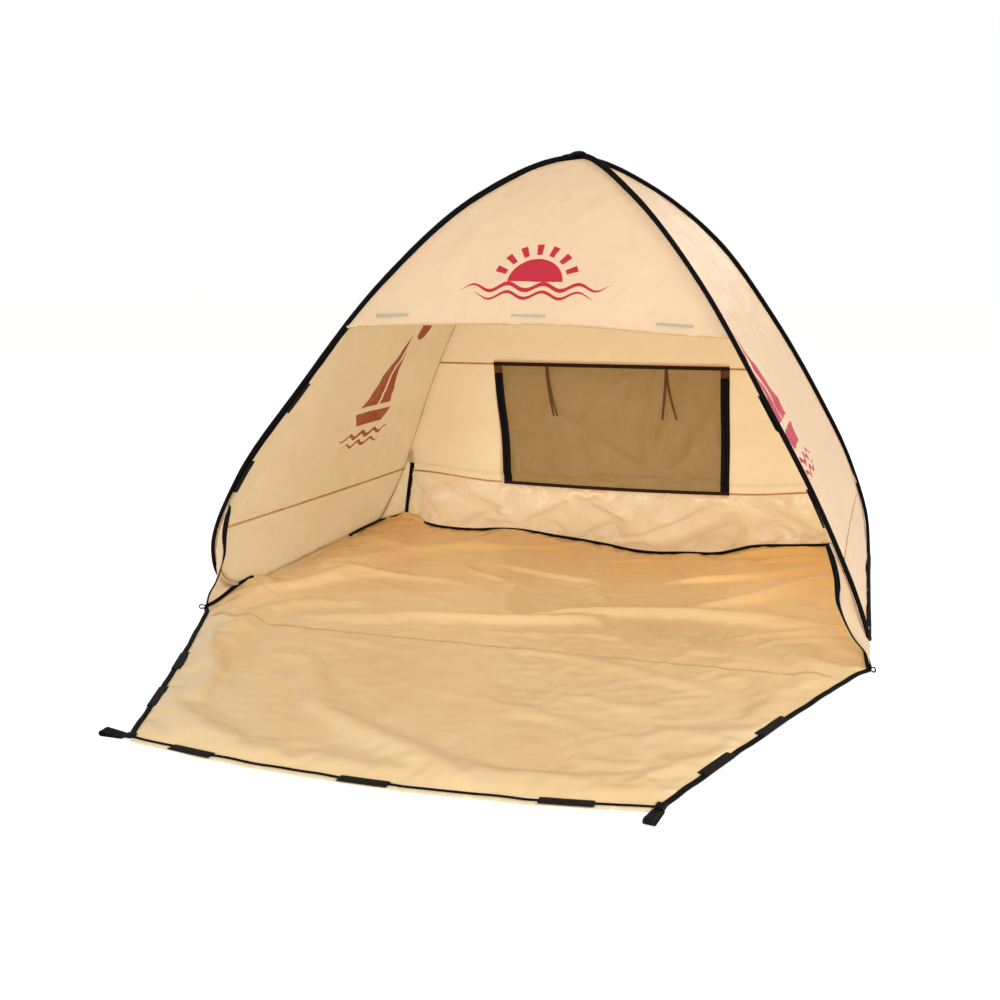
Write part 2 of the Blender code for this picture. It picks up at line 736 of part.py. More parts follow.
def add_gussets():
    """Front and rear gussets with their edge bindings."""
    lead = PANEL_THICKNESS / 2 + CLEARANCE
    for name, side in SIDES.items():
        near = bend_points(front_leg(side), front_rows()[GUSSET_ROW:], side, -lead)
        add_gusset("front_gusset", name, near, gusset_line(side))
        near = bend_points(rear_leg(side), rear_rows()[SEAM_ROW:], side, lead)
        add_gusset("rear_gusset", name, near, corner_line(side))


def back_edge(side, height):
    """Edge of the back wall at a height: on the rear leg, and lower down on the corner."""
    if height > CORNER_TOP_HEIGHT + CLEARANCE:
        leg = rear_leg(side)
        point, along = point_at(leg, length_at_height(leg, height))
        return panel_edge(point, along, ACROSS * -side, -BACK)
    line = corner_line(side)
    share = (line[0].z - height) / (line[0].z - line[-1].z)
    place = line[0].lerp(line[-1], share)
    return place - ACROSS * (side * (BINDING_WIDTH / 2 + CLEARANCE))


def back_wall_point(height, x):
    """Point of the back wall at a height and a distance across, with the fabric's inward sag."""
    left, right = back_edge(-1, height), back_edge(1, height)
    share = (x - left.x) / (right.x - left.x)
    point = left.lerp(right, share)
    drop = max(0.0, min(1.0, (WINDOW_TOP_HEIGHT - height) / WINDOW_TOP_HEIGHT))
    point.y -= BACK_WALL_SAG * math.sin(math.pi * drop) * (1 - (2 * share - 1) ** SAG_POWER)
    return point


def back_wall_grid(heights, start, end, columns):
    """Grid of the back wall between two distances across, None meaning the wall's own edge."""
    grid = []
    for height in heights:
        left = back_edge(-1, height).x if start is None else start
        right = back_edge(1, height).x if end is None else end
        grid.append([back_wall_point(height, x) for x in shares_between(left, right, columns)])
    return grid


def window_x(side, reach=WINDOW_HALF_WIDTH):
    """Distance across of the window's edge on one side, or of a place at another reach."""
    return WINDOW_SHIFT + side * reach


def window_heights():
    """Heights of the rows beside the window, the same as those of the side walls above their seam."""
    leg = rear_leg(1)
    heights = [point_at(leg, length)[0].z for length in rear_rows()[HEADER_ROW_COUNT + 1:SEAM_ROW + 1]]
    return [WINDOW_TOP_HEIGHT - CLEARANCE] + heights + [WINDOW_BOTTOM_HEIGHT]


def add_back_wall():
    """Back wall panels above and beside the window, the window's mesh and the skirt below."""
    grid = []
    for front_length, length in list(zip(front_rows(), rear_rows()))[:HEADER_ROW_COUNT + 1]:
        ends = []
        for side in (-1, 1):
            point, along = point_at(rear_leg(side), length)
            front = point_at(front_leg(side), front_length)[0]
            ends.append(panel_edge(point, along, ACROSS * -side, front - point))
        grid.append(across_row(*ends, HEADER_COLUMN_COUNT))
    for point in grid[-1]:
        point.z += CLEARANCE
    add_sheet("back_wall_upper", grid, PANEL_THICKNESS, SAND_FABRIC, BACK)
    heights = window_heights()
    joints = [window_x(side) + side * CLEARANCE for side in (-1, 1)]
    for name, start, end in (("left", None, joints[0]), ("right", joints[1], None)):
        grid = back_wall_grid(heights, start, end, SIDE_PANEL_COLUMN_COUNT)
        add_sheet(f"back_wall_{name}", grid, PANEL_THICKNESS, SAND_FABRIC, BACK)
    mesh = back_wall_grid(heights, window_x(-1), window_x(1), WINDOW_COLUMN_COUNT)
    add_sheet("window_mesh", mesh, MESH_THICKNESS, MESH_FABRIC, BACK)
    add_skirt()


def back_bow(share):
    """How far the slack skirt pulls the floor's back edge forward, at a share across."""
    knots = [Vector((across, bow, 0)) for across, bow in BACK_BOW_SHARES]
    line = smooth_line(knots, BOW_STEP_COUNT)
    for before, after in zip(line, line[1:]):
        if share <= after.x:
            break
    part = (share - before.x) / (after.x - before.x)
    return FLOOR_DEPTH * max(0.0, before.y + (after.y - before.y) * part)


def floor_back_edge(share):
    """Place along Y of the floor's back edge at a share across."""
    return FRONT_EDGE_Y + BACK_CORNER_SHARES[1] * FLOOR_DEPTH - back_bow(share)


def add_skirt():
    """The lowest band of the back wall, from the window's seam forward and down to the floor."""
    top_height = WINDOW_BOTTOM_HEIGHT - SEAM_GAP - CLEARANCE
    foot_height = PIPING_THICKNESS + FLOOR_THICKNESS + 2 * CLEARANCE + PANEL_THICKNESS / 2
    grid = []
    for part in shares_between(0, 1, SKIRT_ROW_COUNT):
        height = top_height + (foot_height - top_height) * part ** SKIRT_DROP_POWER
        row = back_wall_grid([height], None, None, FLOOR_COLUMN_COUNT)[0]
        for share, point in zip(shares_between(-1, 1, FLOOR_COLUMN_COUNT), row):
            point.y -= back_bow(share) * part ** SKIRT_REACH_POWER
        grid.append(row)
    add_sheet("back_wall_skirt", grid, PANEL_THICKNESS, SAND_FABRIC, UP)


def on_window(height, x):
    """Point of the window's mesh, on the flat facets between its rows and columns."""
    heights = window_heights()
    step = 2 * WINDOW_HALF_WIDTH / WINDOW_COLUMN_COUNT
    column = math.floor((x - window_x(-1)) / step) * step + window_x(-1)
    for high, low in zip(heights, heights[1:]):
        if height >= low:
            break
    down = (high - height) / (high - low)
    rows = [back_wall_point(row, column).lerp(back_wall_point(row, column + step), (x - column) / step)
            for row in (high, low)]
    return rows[0].lerp(rows[1], down)


def add_ties():
    """Two pairs of ties at the window's top: one tie inside the mesh and one outside it."""
    lift = MESH_THICKNESS / 2 + 2 * CLEARANCE + TIE_THICKNESS / 2
    for name, side in SIDES.items():
        for where, toward, sway in zip(("inner", "outer"), (-BACK, BACK), TIE_SWAYS[name]):
            grid = []
            for share in shares_between(0, 1, TIE_STEP_COUNT):
                height = WINDOW_TOP_HEIGHT - TIE_TOP_INSET - TIE_DROP * share
                x = window_x(side, TIE_SPACING / 2) + sway * share ** TIE_SWAY_POWER
                grid.append([on_window(height, x - TIE_WIDTH / 2), on_window(height, x + TIE_WIDTH / 2)])
            add_sheet(f"window_tie_{where}_{name}", grid, TIE_THICKNESS, TIE_FABRIC, toward, lift=lift)


def add_window_trim():
    """Side tapes of the window, and the cover flap that hangs outside from its top."""
    inside = PANEL_THICKNESS / 2 + CLEARANCE + TAPE_THICKNESS / 2
    heights = window_heights()
    for name, side in SIDES.items():
        centre = window_x(side)
        grid = back_wall_grid(heights, centre - TAPE_WIDTH / 2, centre + TAPE_WIDTH / 2, TAPE_COLUMN_COUNT)
        add_sheet(f"window_tape_{name}", grid, TAPE_THICKNESS, BLACK_FABRIC, -BACK, lift=inside)
    outside = PANEL_THICKNESS / 2 + TIE_THICKNESS + 3 * CLEARANCE + FLAP_THICKNESS / 2
    reach = WINDOW_HALF_WIDTH + FLAP_MARGIN
    heights = [WINDOW_TOP_HEIGHT + FLAP_MARGIN] + heights + [WINDOW_BOTTOM_HEIGHT - FLAP_MARGIN]
    grid = back_wall_grid(heights, window_x(-1, reach), window_x(1, reach), WINDOW_COLUMN_COUNT)
    normal = grid_normals(grid, BACK)[0][WINDOW_COLUMN_COUNT // 2]
    hinge = grid[0][WINDOW_COLUMN_COUNT // 2] + normal * (outside + FLAP_THICKNESS / 2)
    add_sheet("window_flap", grid, FLAP_THICKNESS, SAND_FABRIC, BACK, origin=hinge, lift=outside)


def floor_side(y):
    """Half width of the floor with its binding: tucked under the ground sleeve."""
    tuck = SLEEVE_RADIUS * math.sin(HALF_SIDE) + FLOOR_BINDING_THICKNESS + 2 * CLEARANCE
    run = ground_run(1)
    straight = min(point.x for point in run) - tuck
    start = run[0].y - SIDE_LEAD
    if y <= start:
        part = (y - FRONT_EDGE_Y) / (start - FRONT_EDGE_Y)
        return FRONT_HALF_WIDTH + (straight - FRONT_HALF_WIDTH) * part
    if y <= run[-1].y:
        return straight
    across, back = BACK_CORNER_SHARES
    part = (y - run[-1].y) / (FRONT_EDGE_Y + back * FLOOR_DEPTH - run[-1].y)
    return straight + (across * FRONT_HALF_WIDTH - straight) * part


def fold_height(across, along, width, depth, folds):
    """Height of the folds at a place on a laid sheet."""
    height = 0.0
    place = Vector((across * width, along * depth))
    for start_x, start_y, end_x, end_y, broad, tall in folds:
        start = Vector((start_x * width, start_y * depth))
        end = Vector((end_x * width, end_y * depth))
        run = end - start
        share = max(0.0, min(1.0, (place - start).dot(run) / run.length_squared))
        gap = (place - start - run * share).length / (FOLD_WIDTH * broad)
        fade = math.sin(math.pi * (FOLD_END_SHARE + (1 - 2 * FOLD_END_SHARE) * share))
        height = max(height, FOLD_HEIGHT * tall * fade * math.exp(-gap * gap))
    return height


def add_laid_sheet(name, outline, rows, columns, width, depth, folds, origin=Vector()):
    """A sheet on the ground: flat below, with folds on top that die out at its edges."""
    top, bottom = [], []
    for along in shares_between(0, 1, rows):
        upper, lower = [], []
        for across in shares_between(-1, 1, columns):
            x, y = outline(across, along)
            edge = min(1 - abs(across), along, 1 - along)
            rise = fold_height(across, along, width, depth, folds) * min(1.0, edge / FOLD_FADE_SHARE)
            upper.append(Vector((x, y, FLOOR_THICKNESS + rise)))
            lower.append(Vector((x, y, 0)))
        top.append(upper)
        bottom.append(lower)
    return add_piece(name, *skin_sheets(top, bottom), FLOOR_FABRIC, origin)


def floor_outline(across, along):
    """Place on the floor: across from -1 to 1, and along from the front edge to the back edge."""
    start = FRONT_EDGE_Y + CLEARANCE / 2
    row_y = start + (floor_back_edge(1) - start) * along
    bound = floor_side(row_y) - FLOOR_BINDING_WIDTH - 2 * CLEARANCE
    return bound * across, start + (floor_back_edge(across) - start) * along


def flat_tape(name, line, width, thickness, finish, base=0, origin=Vector()):
    """A tape that lies flat along a line on the ground."""
    centre, widths = [], []
    span = line[-1] - line[0]
    aside = ACROSS if abs(span.x) < abs(span.y) else BACK
    for index, point in enumerate(line):
        along = line_direction(line, index)
        widths.append(square_to(aside, along))
        centre.append(Vector((point.x, point.y, base + thickness / 2)))
    return add_tape(name, centre, widths, [UP] * len(line), width, thickness, finish, origin)


def add_floor():
    """Floor sheet, the bindings of its front sides, and the piping along the back wall."""
    add_laid_sheet("floor_sheet", floor_outline, FLOOR_ROW_COUNT, FLOOR_COLUMN_COUNT, FRONT_HALF_WIDTH,
                   FLOOR_DEPTH, FLOOR_FOLD_SHARES)
    for name, side in SIDES.items():
        line = []
        for y in shares_between(FRONT_EDGE_Y + HINGE_SETBACK, floor_back_edge(1), FLOOR_ROW_COUNT):
            line.append(Vector((side * (floor_side(y) - FLOOR_BINDING_WIDTH / 2), y, 0)))
        flat_tape(f"floor_binding_{name}", line, FLOOR_BINDING_WIDTH, FLOOR_BINDING_THICKNESS, BLACK_FABRIC)
    line = []
    half_width = BACK_CORNER_SHARES[0] * FRONT_HALF_WIDTH - PIPING_WIDTH - FLOOR_BINDING_WIDTH
    for share in shares_between(-1, 1, FLOOR_COLUMN_COUNT):
        line.append(Vector((share * half_width, floor_back_edge(share) - PIPING_WIDTH / 2, 0)))
    flat_tape("floor_back_piping", line, PIPING_WIDTH, PIPING_THICKNESS, BLACK_FABRIC,
              base=FLOOR_THICKNESS + CLEARANCE)


DOOR_HINGE = Vector((0, FRONT_EDGE_Y, FLOOR_THICKNESS))


def door_edge(along):
    """Half width of the door at a share of its length."""
    straight = DOOR_NEAR_HALF_WIDTH + (DOOR_FAR_HALF_WIDTH - DOOR_NEAR_HALF_WIDTH) * along
    return straight - DOOR_SIDE_HOLLOW * math.sin(math.pi * along)


def door_point(across, along):
    """Place on the door sheet's own plan: across from -1 to 1, along from the hinge forward."""
    reach = DOOR_LENGTH + DOOR_FRONT_BOW * (1 - across * across)
    return door_edge(along) * across, FRONT_EDGE_Y - CLEARANCE / 2 - reach * along


def door_outline(across, along):
    """Place on the door sheet, inside its bindings."""
    inset = DOOR_BINDING_WIDTH / 2 + CLEARANCE
    slope = (DOOR_NEAR_HALF_WIDTH - DOOR_FAR_HALF_WIDTH + math.pi * DOOR_SIDE_HOLLOW) / DOOR_LENGTH
    x, y = door_point(across, along * (1 - inset / DOOR_LENGTH))
    return x * (1 - (inset * math.hypot(1, slope) + CLEARANCE) / door_edge(along)), y


def add_door():
    """Door sheet, its bindings and its hook-and-loop tabs."""
    add_laid_sheet("door_sheet", door_outline, DOOR_ROW_COUNT, DOOR_COLUMN_COUNT, DOOR_NEAR_HALF_WIDTH,
                   -DOOR_LENGTH, DOOR_FOLD_SHARES, DOOR_HINGE)
    start = HINGE_SETBACK / DOOR_LENGTH
    stop = 1 - DOOR_BINDING_WIDTH / DOOR_LENGTH
    for name, side in SIDES.items():
        alongs = shares_between(start, stop, SIDE_BINDING_STEP_COUNT)
        line = [Vector((*door_point(side, along), 0)) for along in alongs]
        flat_tape(f"door_binding_{name}", line, DOOR_BINDING_WIDTH, FLOOR_BINDING_THICKNESS, BLACK_FABRIC,
                  origin=DOOR_HINGE)
    line = [Vector((*door_point(across, 1), 0)) for across in shares_between(-1, 1, FRONT_BINDING_STEP_COUNT)]
    flat_tape("door_binding_front", line, DOOR_BINDING_WIDTH, FLOOR_BINDING_THICKNESS, BLACK_FABRIC,
              origin=DOOR_HINGE)
    add_door_tabs()


def add_door_tabs():
    """Tabs on top of the door's bindings, which meet those of the legs and the header."""
    base = FLOOR_BINDING_THICKNESS + CLEARANCE
    half = TAB_LENGTH / 2
    for name, side in SIDES.items():
        for order, share in zip(("near", "far"), DOOR_SIDE_TAB_SHARES):
            line = []
            for offset in shares_between(-half, half, TAB_STEP_COUNT):
                line.append(Vector((*door_point(side, share + offset / DOOR_LENGTH), 0)))
            flat_tape(f"door_tab_{name}_{order}", line, DOOR_TAB_WIDTH, TAB_THICKNESS, BLACK_FABRIC, base,
                      DOOR_HINGE)
    for name, share in zip(("left", "middle", "right"), DOOR_FRONT_TAB_SHARES):
        line = []
        for offset in shares_between(-half, half, TAB_STEP_COUNT):
            line.append(Vector((*door_point(share + offset / DOOR_FAR_HALF_WIDTH, 1), 0)))
        flat_tape(f"door_tab_front_{name}", line, DOOR_TAB_WIDTH, TAB_THICKNESS, BLACK_FABRIC, base,
                  DOOR_HINGE)


def on_wall(side, length, reach):
    """Point of a side wall beside a running length of the front leg, `reach` behind the wall's edge."""
    rows = front_rows()
    row = max(index for index in range(GUSSET_ROW) if rows[index] <= length)
    share = (length - rows[row]) / (rows[row + 1] - rows[row])
    edge, inside = [wall_row(side, row)[i].lerp(wall_row(side, row + 1)[i], share) for i in (0, 1)]
    return edge + (inside - edge).normalized() * reach


def add_leg_tabs():
    """Tabs on the inner face of the side walls beside the front legs, which hold the closed door."""
    lift = PANEL_THICKNESS / 2 + CLEARANCE + TAB_THICKNESS / 2
    for name, side in SIDES.items():
        for order, height in zip(("low", "high"), LEG_TAB_HEIGHTS):
            middle = length_at_height(front_leg(side), height)
            lengths = shares_between(middle - TAB_LENGTH / 2, middle + TAB_LENGTH / 2, LEG_TAB_STEP_COUNT)
            grid = []
            for length in lengths:
                grid.append([on_wall(side, length, LEG_TAB_SETBACK),
                             on_wall(side, length, LEG_TAB_SETBACK + TAB_WIDTH)])
            add_sheet(f"leg_tab_{name}_{order}", grid, TAB_THICKNESS, BLACK_FABRIC, ACROSS * -side, lift=lift)


def loop_section_line(length, radius, thickness):
    """Side view of a folded webbing loop: out along the ground, round, and back on top."""
    low = thickness / 2
    ends = low + thickness + CLEARANCE
    turn = Vector((length - radius - thickness, low + radius))
    line = [Vector((0, low)), Vector((turn.x / 2, low))]
    for angle in shares_between(-math.pi / 2, math.pi / 2, LOOP_ARC_STEP_COUNT):
        line.append(turn + Vector((math.cos(angle), math.sin(angle))) * radius)
    line += [Vector((turn.x / 2, (low + 2 * radius + ends) / 2)), Vector((0, ends))]
    return line


def add_loop(name, root, turn, length, width, thickness, radius):
    """A folded webbing loop that leaves `root` on the ground in the direction of `turn`."""
    outward = Vector((math.cos(turn), math.sin(turn), 0))
    across = Vector((-outward.y, outward.x, 0))
    line = [root + outward * place.x + UP * place.y for place in loop_section_line(length, radius, thickness)]
    normals = [line_direction(line, index).cross(across) for index in range(len(line))]
    return add_tape(name, line, [across] * len(line), normals, width, thickness, BLACK_FABRIC, root)


def add_loops():
    """Peg loops at the door's far corners and small loops at the floor's front corners."""
    for (name, side), turn in zip(SIDES.items(), reversed(PEG_LOOP_TURNS)):
        x, y = door_point(side, 1)
        outward = Vector((math.cos(turn), math.sin(turn), 0))
        slope = (DOOR_NEAR_HALF_WIDTH - DOOR_FAR_HALF_WIDTH) / DOOR_LENGTH
        if abs(outward.y) > abs(outward.x):
            slope = 2 * DOOR_FRONT_BOW / DOOR_FAR_HALF_WIDTH + abs(outward.x / outward.y)
        gap = DOOR_BINDING_WIDTH / 2 * math.hypot(1, slope) + PEG_LOOP_WIDTH / 2 * slope + CLEARANCE
        root = Vector((x, y, 0)) + outward * gap
        add_loop(f"peg_loop_{name}", root, turn, PEG_LOOP_LENGTH, PEG_LOOP_WIDTH, PEG_LOOP_THICKNESS,
                 PEG_LOOP_RADIUS)
    for name, side in SIDES.items():
        turn = 0 if side > 0 else math.pi
        y = FRONT_EDGE_Y + 2 * HINGE_SETBACK
        root = Vector((side * (floor_side(y - CORNER_LOOP_WIDTH / 2) + 2 * CLEARANCE), y, 0))
        add_loop(f"corner_loop_{name}", root, turn, CORNER_LOOP_LENGTH, CORNER_LOOP_WIDTH,
                 PEG_LOOP_THICKNESS, CORNER_LOOP_RADIUS)


def main():
    """Build the whole tent."""
    for old in list(bpy.data.objects):
        bpy.data.objects.remove(old, do_unlink=True)
    add_wire()
    add_sleeves()
    add_crown()
    add_header()
    add_side_walls()
    add_gussets()
    add_back_wall()
    add_ties()
    add_window_trim()
    add_floor()
    add_door()
    add_leg_tabs()
    add_loops()


main()
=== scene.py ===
import math

import bpy
import numpy as np
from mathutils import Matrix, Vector, noise


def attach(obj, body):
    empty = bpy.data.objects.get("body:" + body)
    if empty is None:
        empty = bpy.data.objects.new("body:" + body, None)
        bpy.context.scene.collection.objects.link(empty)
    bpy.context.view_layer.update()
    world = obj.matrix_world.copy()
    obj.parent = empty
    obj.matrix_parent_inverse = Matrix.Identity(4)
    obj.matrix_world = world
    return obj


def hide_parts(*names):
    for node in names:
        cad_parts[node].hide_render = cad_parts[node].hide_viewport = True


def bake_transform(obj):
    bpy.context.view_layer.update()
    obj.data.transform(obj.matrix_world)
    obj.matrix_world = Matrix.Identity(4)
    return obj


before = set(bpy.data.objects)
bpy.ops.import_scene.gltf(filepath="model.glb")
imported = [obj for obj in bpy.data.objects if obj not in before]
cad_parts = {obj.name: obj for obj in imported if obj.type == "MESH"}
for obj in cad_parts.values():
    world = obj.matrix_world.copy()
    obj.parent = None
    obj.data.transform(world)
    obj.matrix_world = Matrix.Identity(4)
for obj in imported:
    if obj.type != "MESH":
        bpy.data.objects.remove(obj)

noise.seed_set(7)
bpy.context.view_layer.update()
X, Y, Z = np.eye(3)
SIDES = {"right": 1, "left": -1}

# Sizes shared with the CAD model, in metres
HALF, DEPTH, APEX = 1.000, 1.310, 1.421
FRONT_Y = -DEPTH / 2
GAP = 0.0003
SLEEVE_R = 0.010
GROUND_Z = SLEEVE_R * math.cos(math.pi / 8)
PANEL = 0.002
SKIN = GROUND_Z + 2 * GAP + PANEL / 2
PATCH = 0.055
START = PATCH + 0.012
CROSSING = 0.004
HEM_Z, HEM_RISE = 0.864, 0.013
GUSSET_Z, SEAM_Z, CORNER_Z = 0.345, 0.27, 0.205
WINDOW_LEFT, WINDOW_RIGHT, WINDOW_TOP, WINDOW_LOW = -0.475, 0.441, 0.680, 0.178
TIE_X = {"left": -0.2715, "right": 0.2125}
TIE_SWAYS = {"left": (0.019, 0.033), "right": (-0.019, 0.038)}
HEADER_ROWS, SEAM_ROW, GUSSET_ROW, LAST_ROW = 9, 16, 14, 22
BACK_X_SHARE, BACK_Y_SHARE = 0.928, 1.028
BACK_X, BACK_Y = BACK_X_SHARE * HALF, FRONT_Y + BACK_Y_SHARE * DEPTH
APEX_SHARES = (0, 0.562, 1)
FRONT_SHARES = ((.25, .348, .898), (.49, .197, .71), (.7, .078, .482), (.86, -.006, .29), (.95, -.011, .146),
                (.99, .06, .045))
GROUND_SHARES = ((.995, .19, 0), (.995, .42, 0), (.995, .69, 0), (.995, .915, .004))
REAR_SHARES = ((.98, 1.03, .085), (.91, 1.061, .228), (.8, 1.008, .392), (.62, .934, .616), (.42, .868, .812),
               (.2, .757, .942))
BINDING_SHARES = ((.906, -.016, .74), (.917, -.013, .5), (.952, -.007, .27), (.99, .001, .11),
                  (.998, .002, .035))
BOW_SHARES = ((-1, 0), (-.94, .03), (-.86, .095), (-.62, .145), (-.43, .108), (-.19, .16), (.02, .214),
              (.21, .27), (.36, .248), (.5, .226), (.62, .122), (.8, .076), (.92, .042), (1, 0))
DOOR_LENGTH, DOOR_NEAR, DOOR_FAR, DOOR_BOW, DOOR_HOLLOW = 0.858, 0.985, 0.603, 0.055, 0.010
PEG_ROOTS = {"left": (-0.61653, -1.51315), "right": (0.60137, -1.52473)}
PEG_TURNS = {"left": 180, "right": 262}
STEPS = 12

# Fit of the cloth to the sleeves
OVERLAP, UNDER, SEAT = 0.0025, 0.0042, 0.0026


# Lines
def unit(v):
    return v / np.maximum(np.linalg.norm(v, axis=-1, keepdims=True), 1e-12)


def dot(a, b):
    return np.sum(a * b, axis=-1, keepdims=True)


def square_to(direction, along):
    return unit(direction - along * dot(np.broadcast_to(direction, along.shape), along))


def smoothstep(x, a, b):
    t = np.clip((x - a) / (b - a), 0, 1)
    return t * t * (3 - 2 * t)


def smooth_line(knots, steps, closed=False):
    """A smooth curve through the knots, each span in `steps` parts."""
    knots = np.asarray(knots, float)
    count = len(knots)

    def knot(i):
        return knots[i % count] if closed else knots[max(0, min(count - 1, i))]

    def slope(i):
        before, after = knot(i) - knot(i - 1), knot(i + 1) - knot(i)
        first, second = np.linalg.norm(before), np.linalg.norm(after)
        if first == 0 or second == 0:
            return (before + after) / (first + second)
        return (before * (second / first) + after * (first / second)) / (first + second)

    line = []
    for i in range(count if closed else count - 1):
        a, b = knot(i), knot(i + 1)
        length = np.linalg.norm(b - a)
        for step in range(steps):
            t = step / steps
            line.append(a * (2 * t ** 3 - 3 * t ** 2 + 1) + slope(i) * length * (t ** 3 - 2 * t ** 2 + t)
                        + b * (3 * t ** 2 - 2 * t ** 3) + slope(i + 1) * length * (t ** 3 - t ** 2))
    if not closed:
        line.append(knots[-1])
    return np.array(line)


def running(line):
    return np.concatenate([[0], np.cumsum(np.linalg.norm(np.diff(line, axis=0), axis=1))])


def at(line, lengths):
    """Points and unit directions of a line at running lengths."""
    s = running(line)
    d = unit(np.gradient(line, axis=0))
    lengths = np.atleast_1d(lengths)
    points = np.stack([np.interp(lengths, s, line[:, k]) for k in range(3)], axis=1)
    along = unit(np.stack([np.interp(lengths, s, d[:, k]) for k in range(3)], axis=1))
    over = np.maximum(lengths - s[-1], 0)[:, None] + np.minimum(lengths, 0)[:, None]
    return points + along * over, along


def resample(line, count):
    return at(line, np.linspace(0, running(line)[-1], count))[0]


def length_at_height(line, height):
    s = running(line)
    i = int(np.argmax(line[:, 2] <= height))
    t = (line[i - 1, 2] - height) / (line[i - 1, 2] - line[i, 2])
    return s[i - 1] + t * (s[i] - s[i - 1])


def station(shares):
    return np.array([shares[0] * HALF, FRONT_Y + shares[1] * DEPTH, GROUND_Z + shares[2] * (APEX - GROUND_Z)])


def make_route():
    """The wire's closed centre line, from the apex down the right front leg."""
    knots = []
    for side in (1, -1):
        knots.append(station(APEX_SHARES) + Z * side * CROSSING)
        knots += [station(s) * (side, 1, 1) for s in FRONT_SHARES + GROUND_SHARES + REAR_SHARES]
    route = smooth_line(knots, STEPS, closed=True)
    route[:, 2] = np.maximum(route[:, 2], GROUND_Z)
    return route


def cut_route(route):
    """The front leg, ground and rear leg lines of both sides, the legs from the apex down."""
    lobe = len(route) // 2
    counts = (7 * STEPS, 3 * STEPS, lobe - 10 * STEPS)
    parts = ({}, {}, {})
    for side in (1, -1):
        start = 0 if side > 0 else lobe
        for part, count in zip(parts, counts):
            part[side] = route[np.arange(start, start + count + 1) % len(route)]
            start += count
        parts[2][side] = parts[2][side][::-1]
    return parts


def leg_rows(line, heights, counts):
    """Running lengths of a leg's rows, in even steps between the heights where panels meet."""
    marks = [START] + [length_at_height(line, z) for z in heights] + [running(line)[-1]]
    rows = marks[:1]
    for a, b, n in zip(marks, marks[1:], counts):
        rows += list(np.linspace(a, b, n + 1)[1:])
    return np.array(rows)


FRONT, GROUND, REAR = cut_route(make_route())
FRONT_ROWS = leg_rows(FRONT[1], (HEM_Z, GUSSET_Z, SEAM_Z), (9, 5, 2, 6))
REAR_ROWS = leg_rows(REAR[1], (WINDOW_TOP, CORNER_Z), (9, 7, 6))


def front_at(side, rows):
    return at(FRONT[side], np.interp(rows, np.arange(LAST_ROW + 1), FRONT_ROWS))


def rear_at(side, rows):
    return at(REAR[side], np.interp(rows, np.arange(LAST_ROW + 1), REAR_ROWS))


def inward_normal(along, toward, points):
    normal = unit(np.cross(along, square_to(toward, along)))
    flip = dot(normal, np.array([0, 0, APEX / 3]) - points) < 0
    return np.where(flip, -normal, normal)


def panel_edge(points, along, toward, neighbour):
    """Edge of a panel where it meets its neighbour under a sleeve."""
    own, other = inward_normal(along, toward, points), inward_normal(along, neighbour, points)
    half = np.arccos(np.clip(dot(own, other), -1, 1)) / 2
    return (points + unit(own + other) * (SKIN / np.cos(half))
            + square_to(toward, along) * (PANEL / 2 * np.tan(half)))


def edge_behind(points, along, side, lead):
    """Edge of a panel that runs on behind a sleeve, `lead` past its middle."""
    inward = square_to(X * -side, along)
    return points + inward * SKIN + np.cross(along, inward) * (side * lead)


# Height fields for folds and creases
def field(points, scale, seed, octaves=1):
    """Smooth noise in -1..1 at points, one bump about every `scale` metres."""
    shift = Vector((seed * 7.13, seed * 3.71, seed * 5.37))
    values = [noise.fractal(Vector(p) / scale + shift, 1.0, 2.0, octaves) for p in points.reshape(-1, 3)]
    return np.array(values).reshape(points.shape[:-1])


def creases(points, scale, seed, width=0.16):
    """Sharp-edged crease network in 0..1, from the borders of warped cells."""
    shift = Vector((seed * 2.31, seed * 9.17, seed * 4.57))
    out = []
    for p in points.reshape(-1, 3):
        v = Vector(p) / scale + shift
        v += noise.noise_vector(v * 0.7) * 0.6
        near, far = noise.voronoi(v)[0][:2]
        out.append(far - near)
    return np.exp(-(np.array(out) / width) ** 2).reshape(points.shape[:-1])


def folds(u, v, lines):
    """Rounded folds in a plane: each from (u0, v0) to (u1, v1), half width and height."""
    out = np.zeros_like(u)
    for u0, v0, u1, v1, wide, tall in lines:
        du, dv = u1 - u0, v1 - v0
        square = du * du + dv * dv
        length = math.sqrt(square)
        t = ((u - u0) * du + (v - v0) * dv) / square
        bend = 0.06 * length * np.sin(3.0 * t + u0 * 9)
        side = ((u - u0) * dv - (v - v0) * du) / length + bend
        fade = smoothstep(t, -0.12, 0.25) * (1 - smoothstep(t, 0.7, 1.15))
        out += tall * fade * np.exp(-(side / (wide * (0.6 + 0.8 * np.clip(t, 0, 1)))) ** 2)
    return out


# Materials
class Value:
    """A node's output, with arithmetic that adds math nodes."""

    def __init__(self, nodes, socket):
        self.nodes, self.socket = nodes, socket

    def __add__(self, other):
        return self.nodes.math("ADD", self, other)

    def __sub__(self, other):
        return self.nodes.math("SUBTRACT", self, other)

    def __rsub__(self, other):
        return self.nodes.math("SUBTRACT", other, self)

    def __mul__(self, other):
        return self.nodes.math("MULTIPLY", self, other)

    def __abs__(self):
        return self.nodes.math("ABSOLUTE", self)


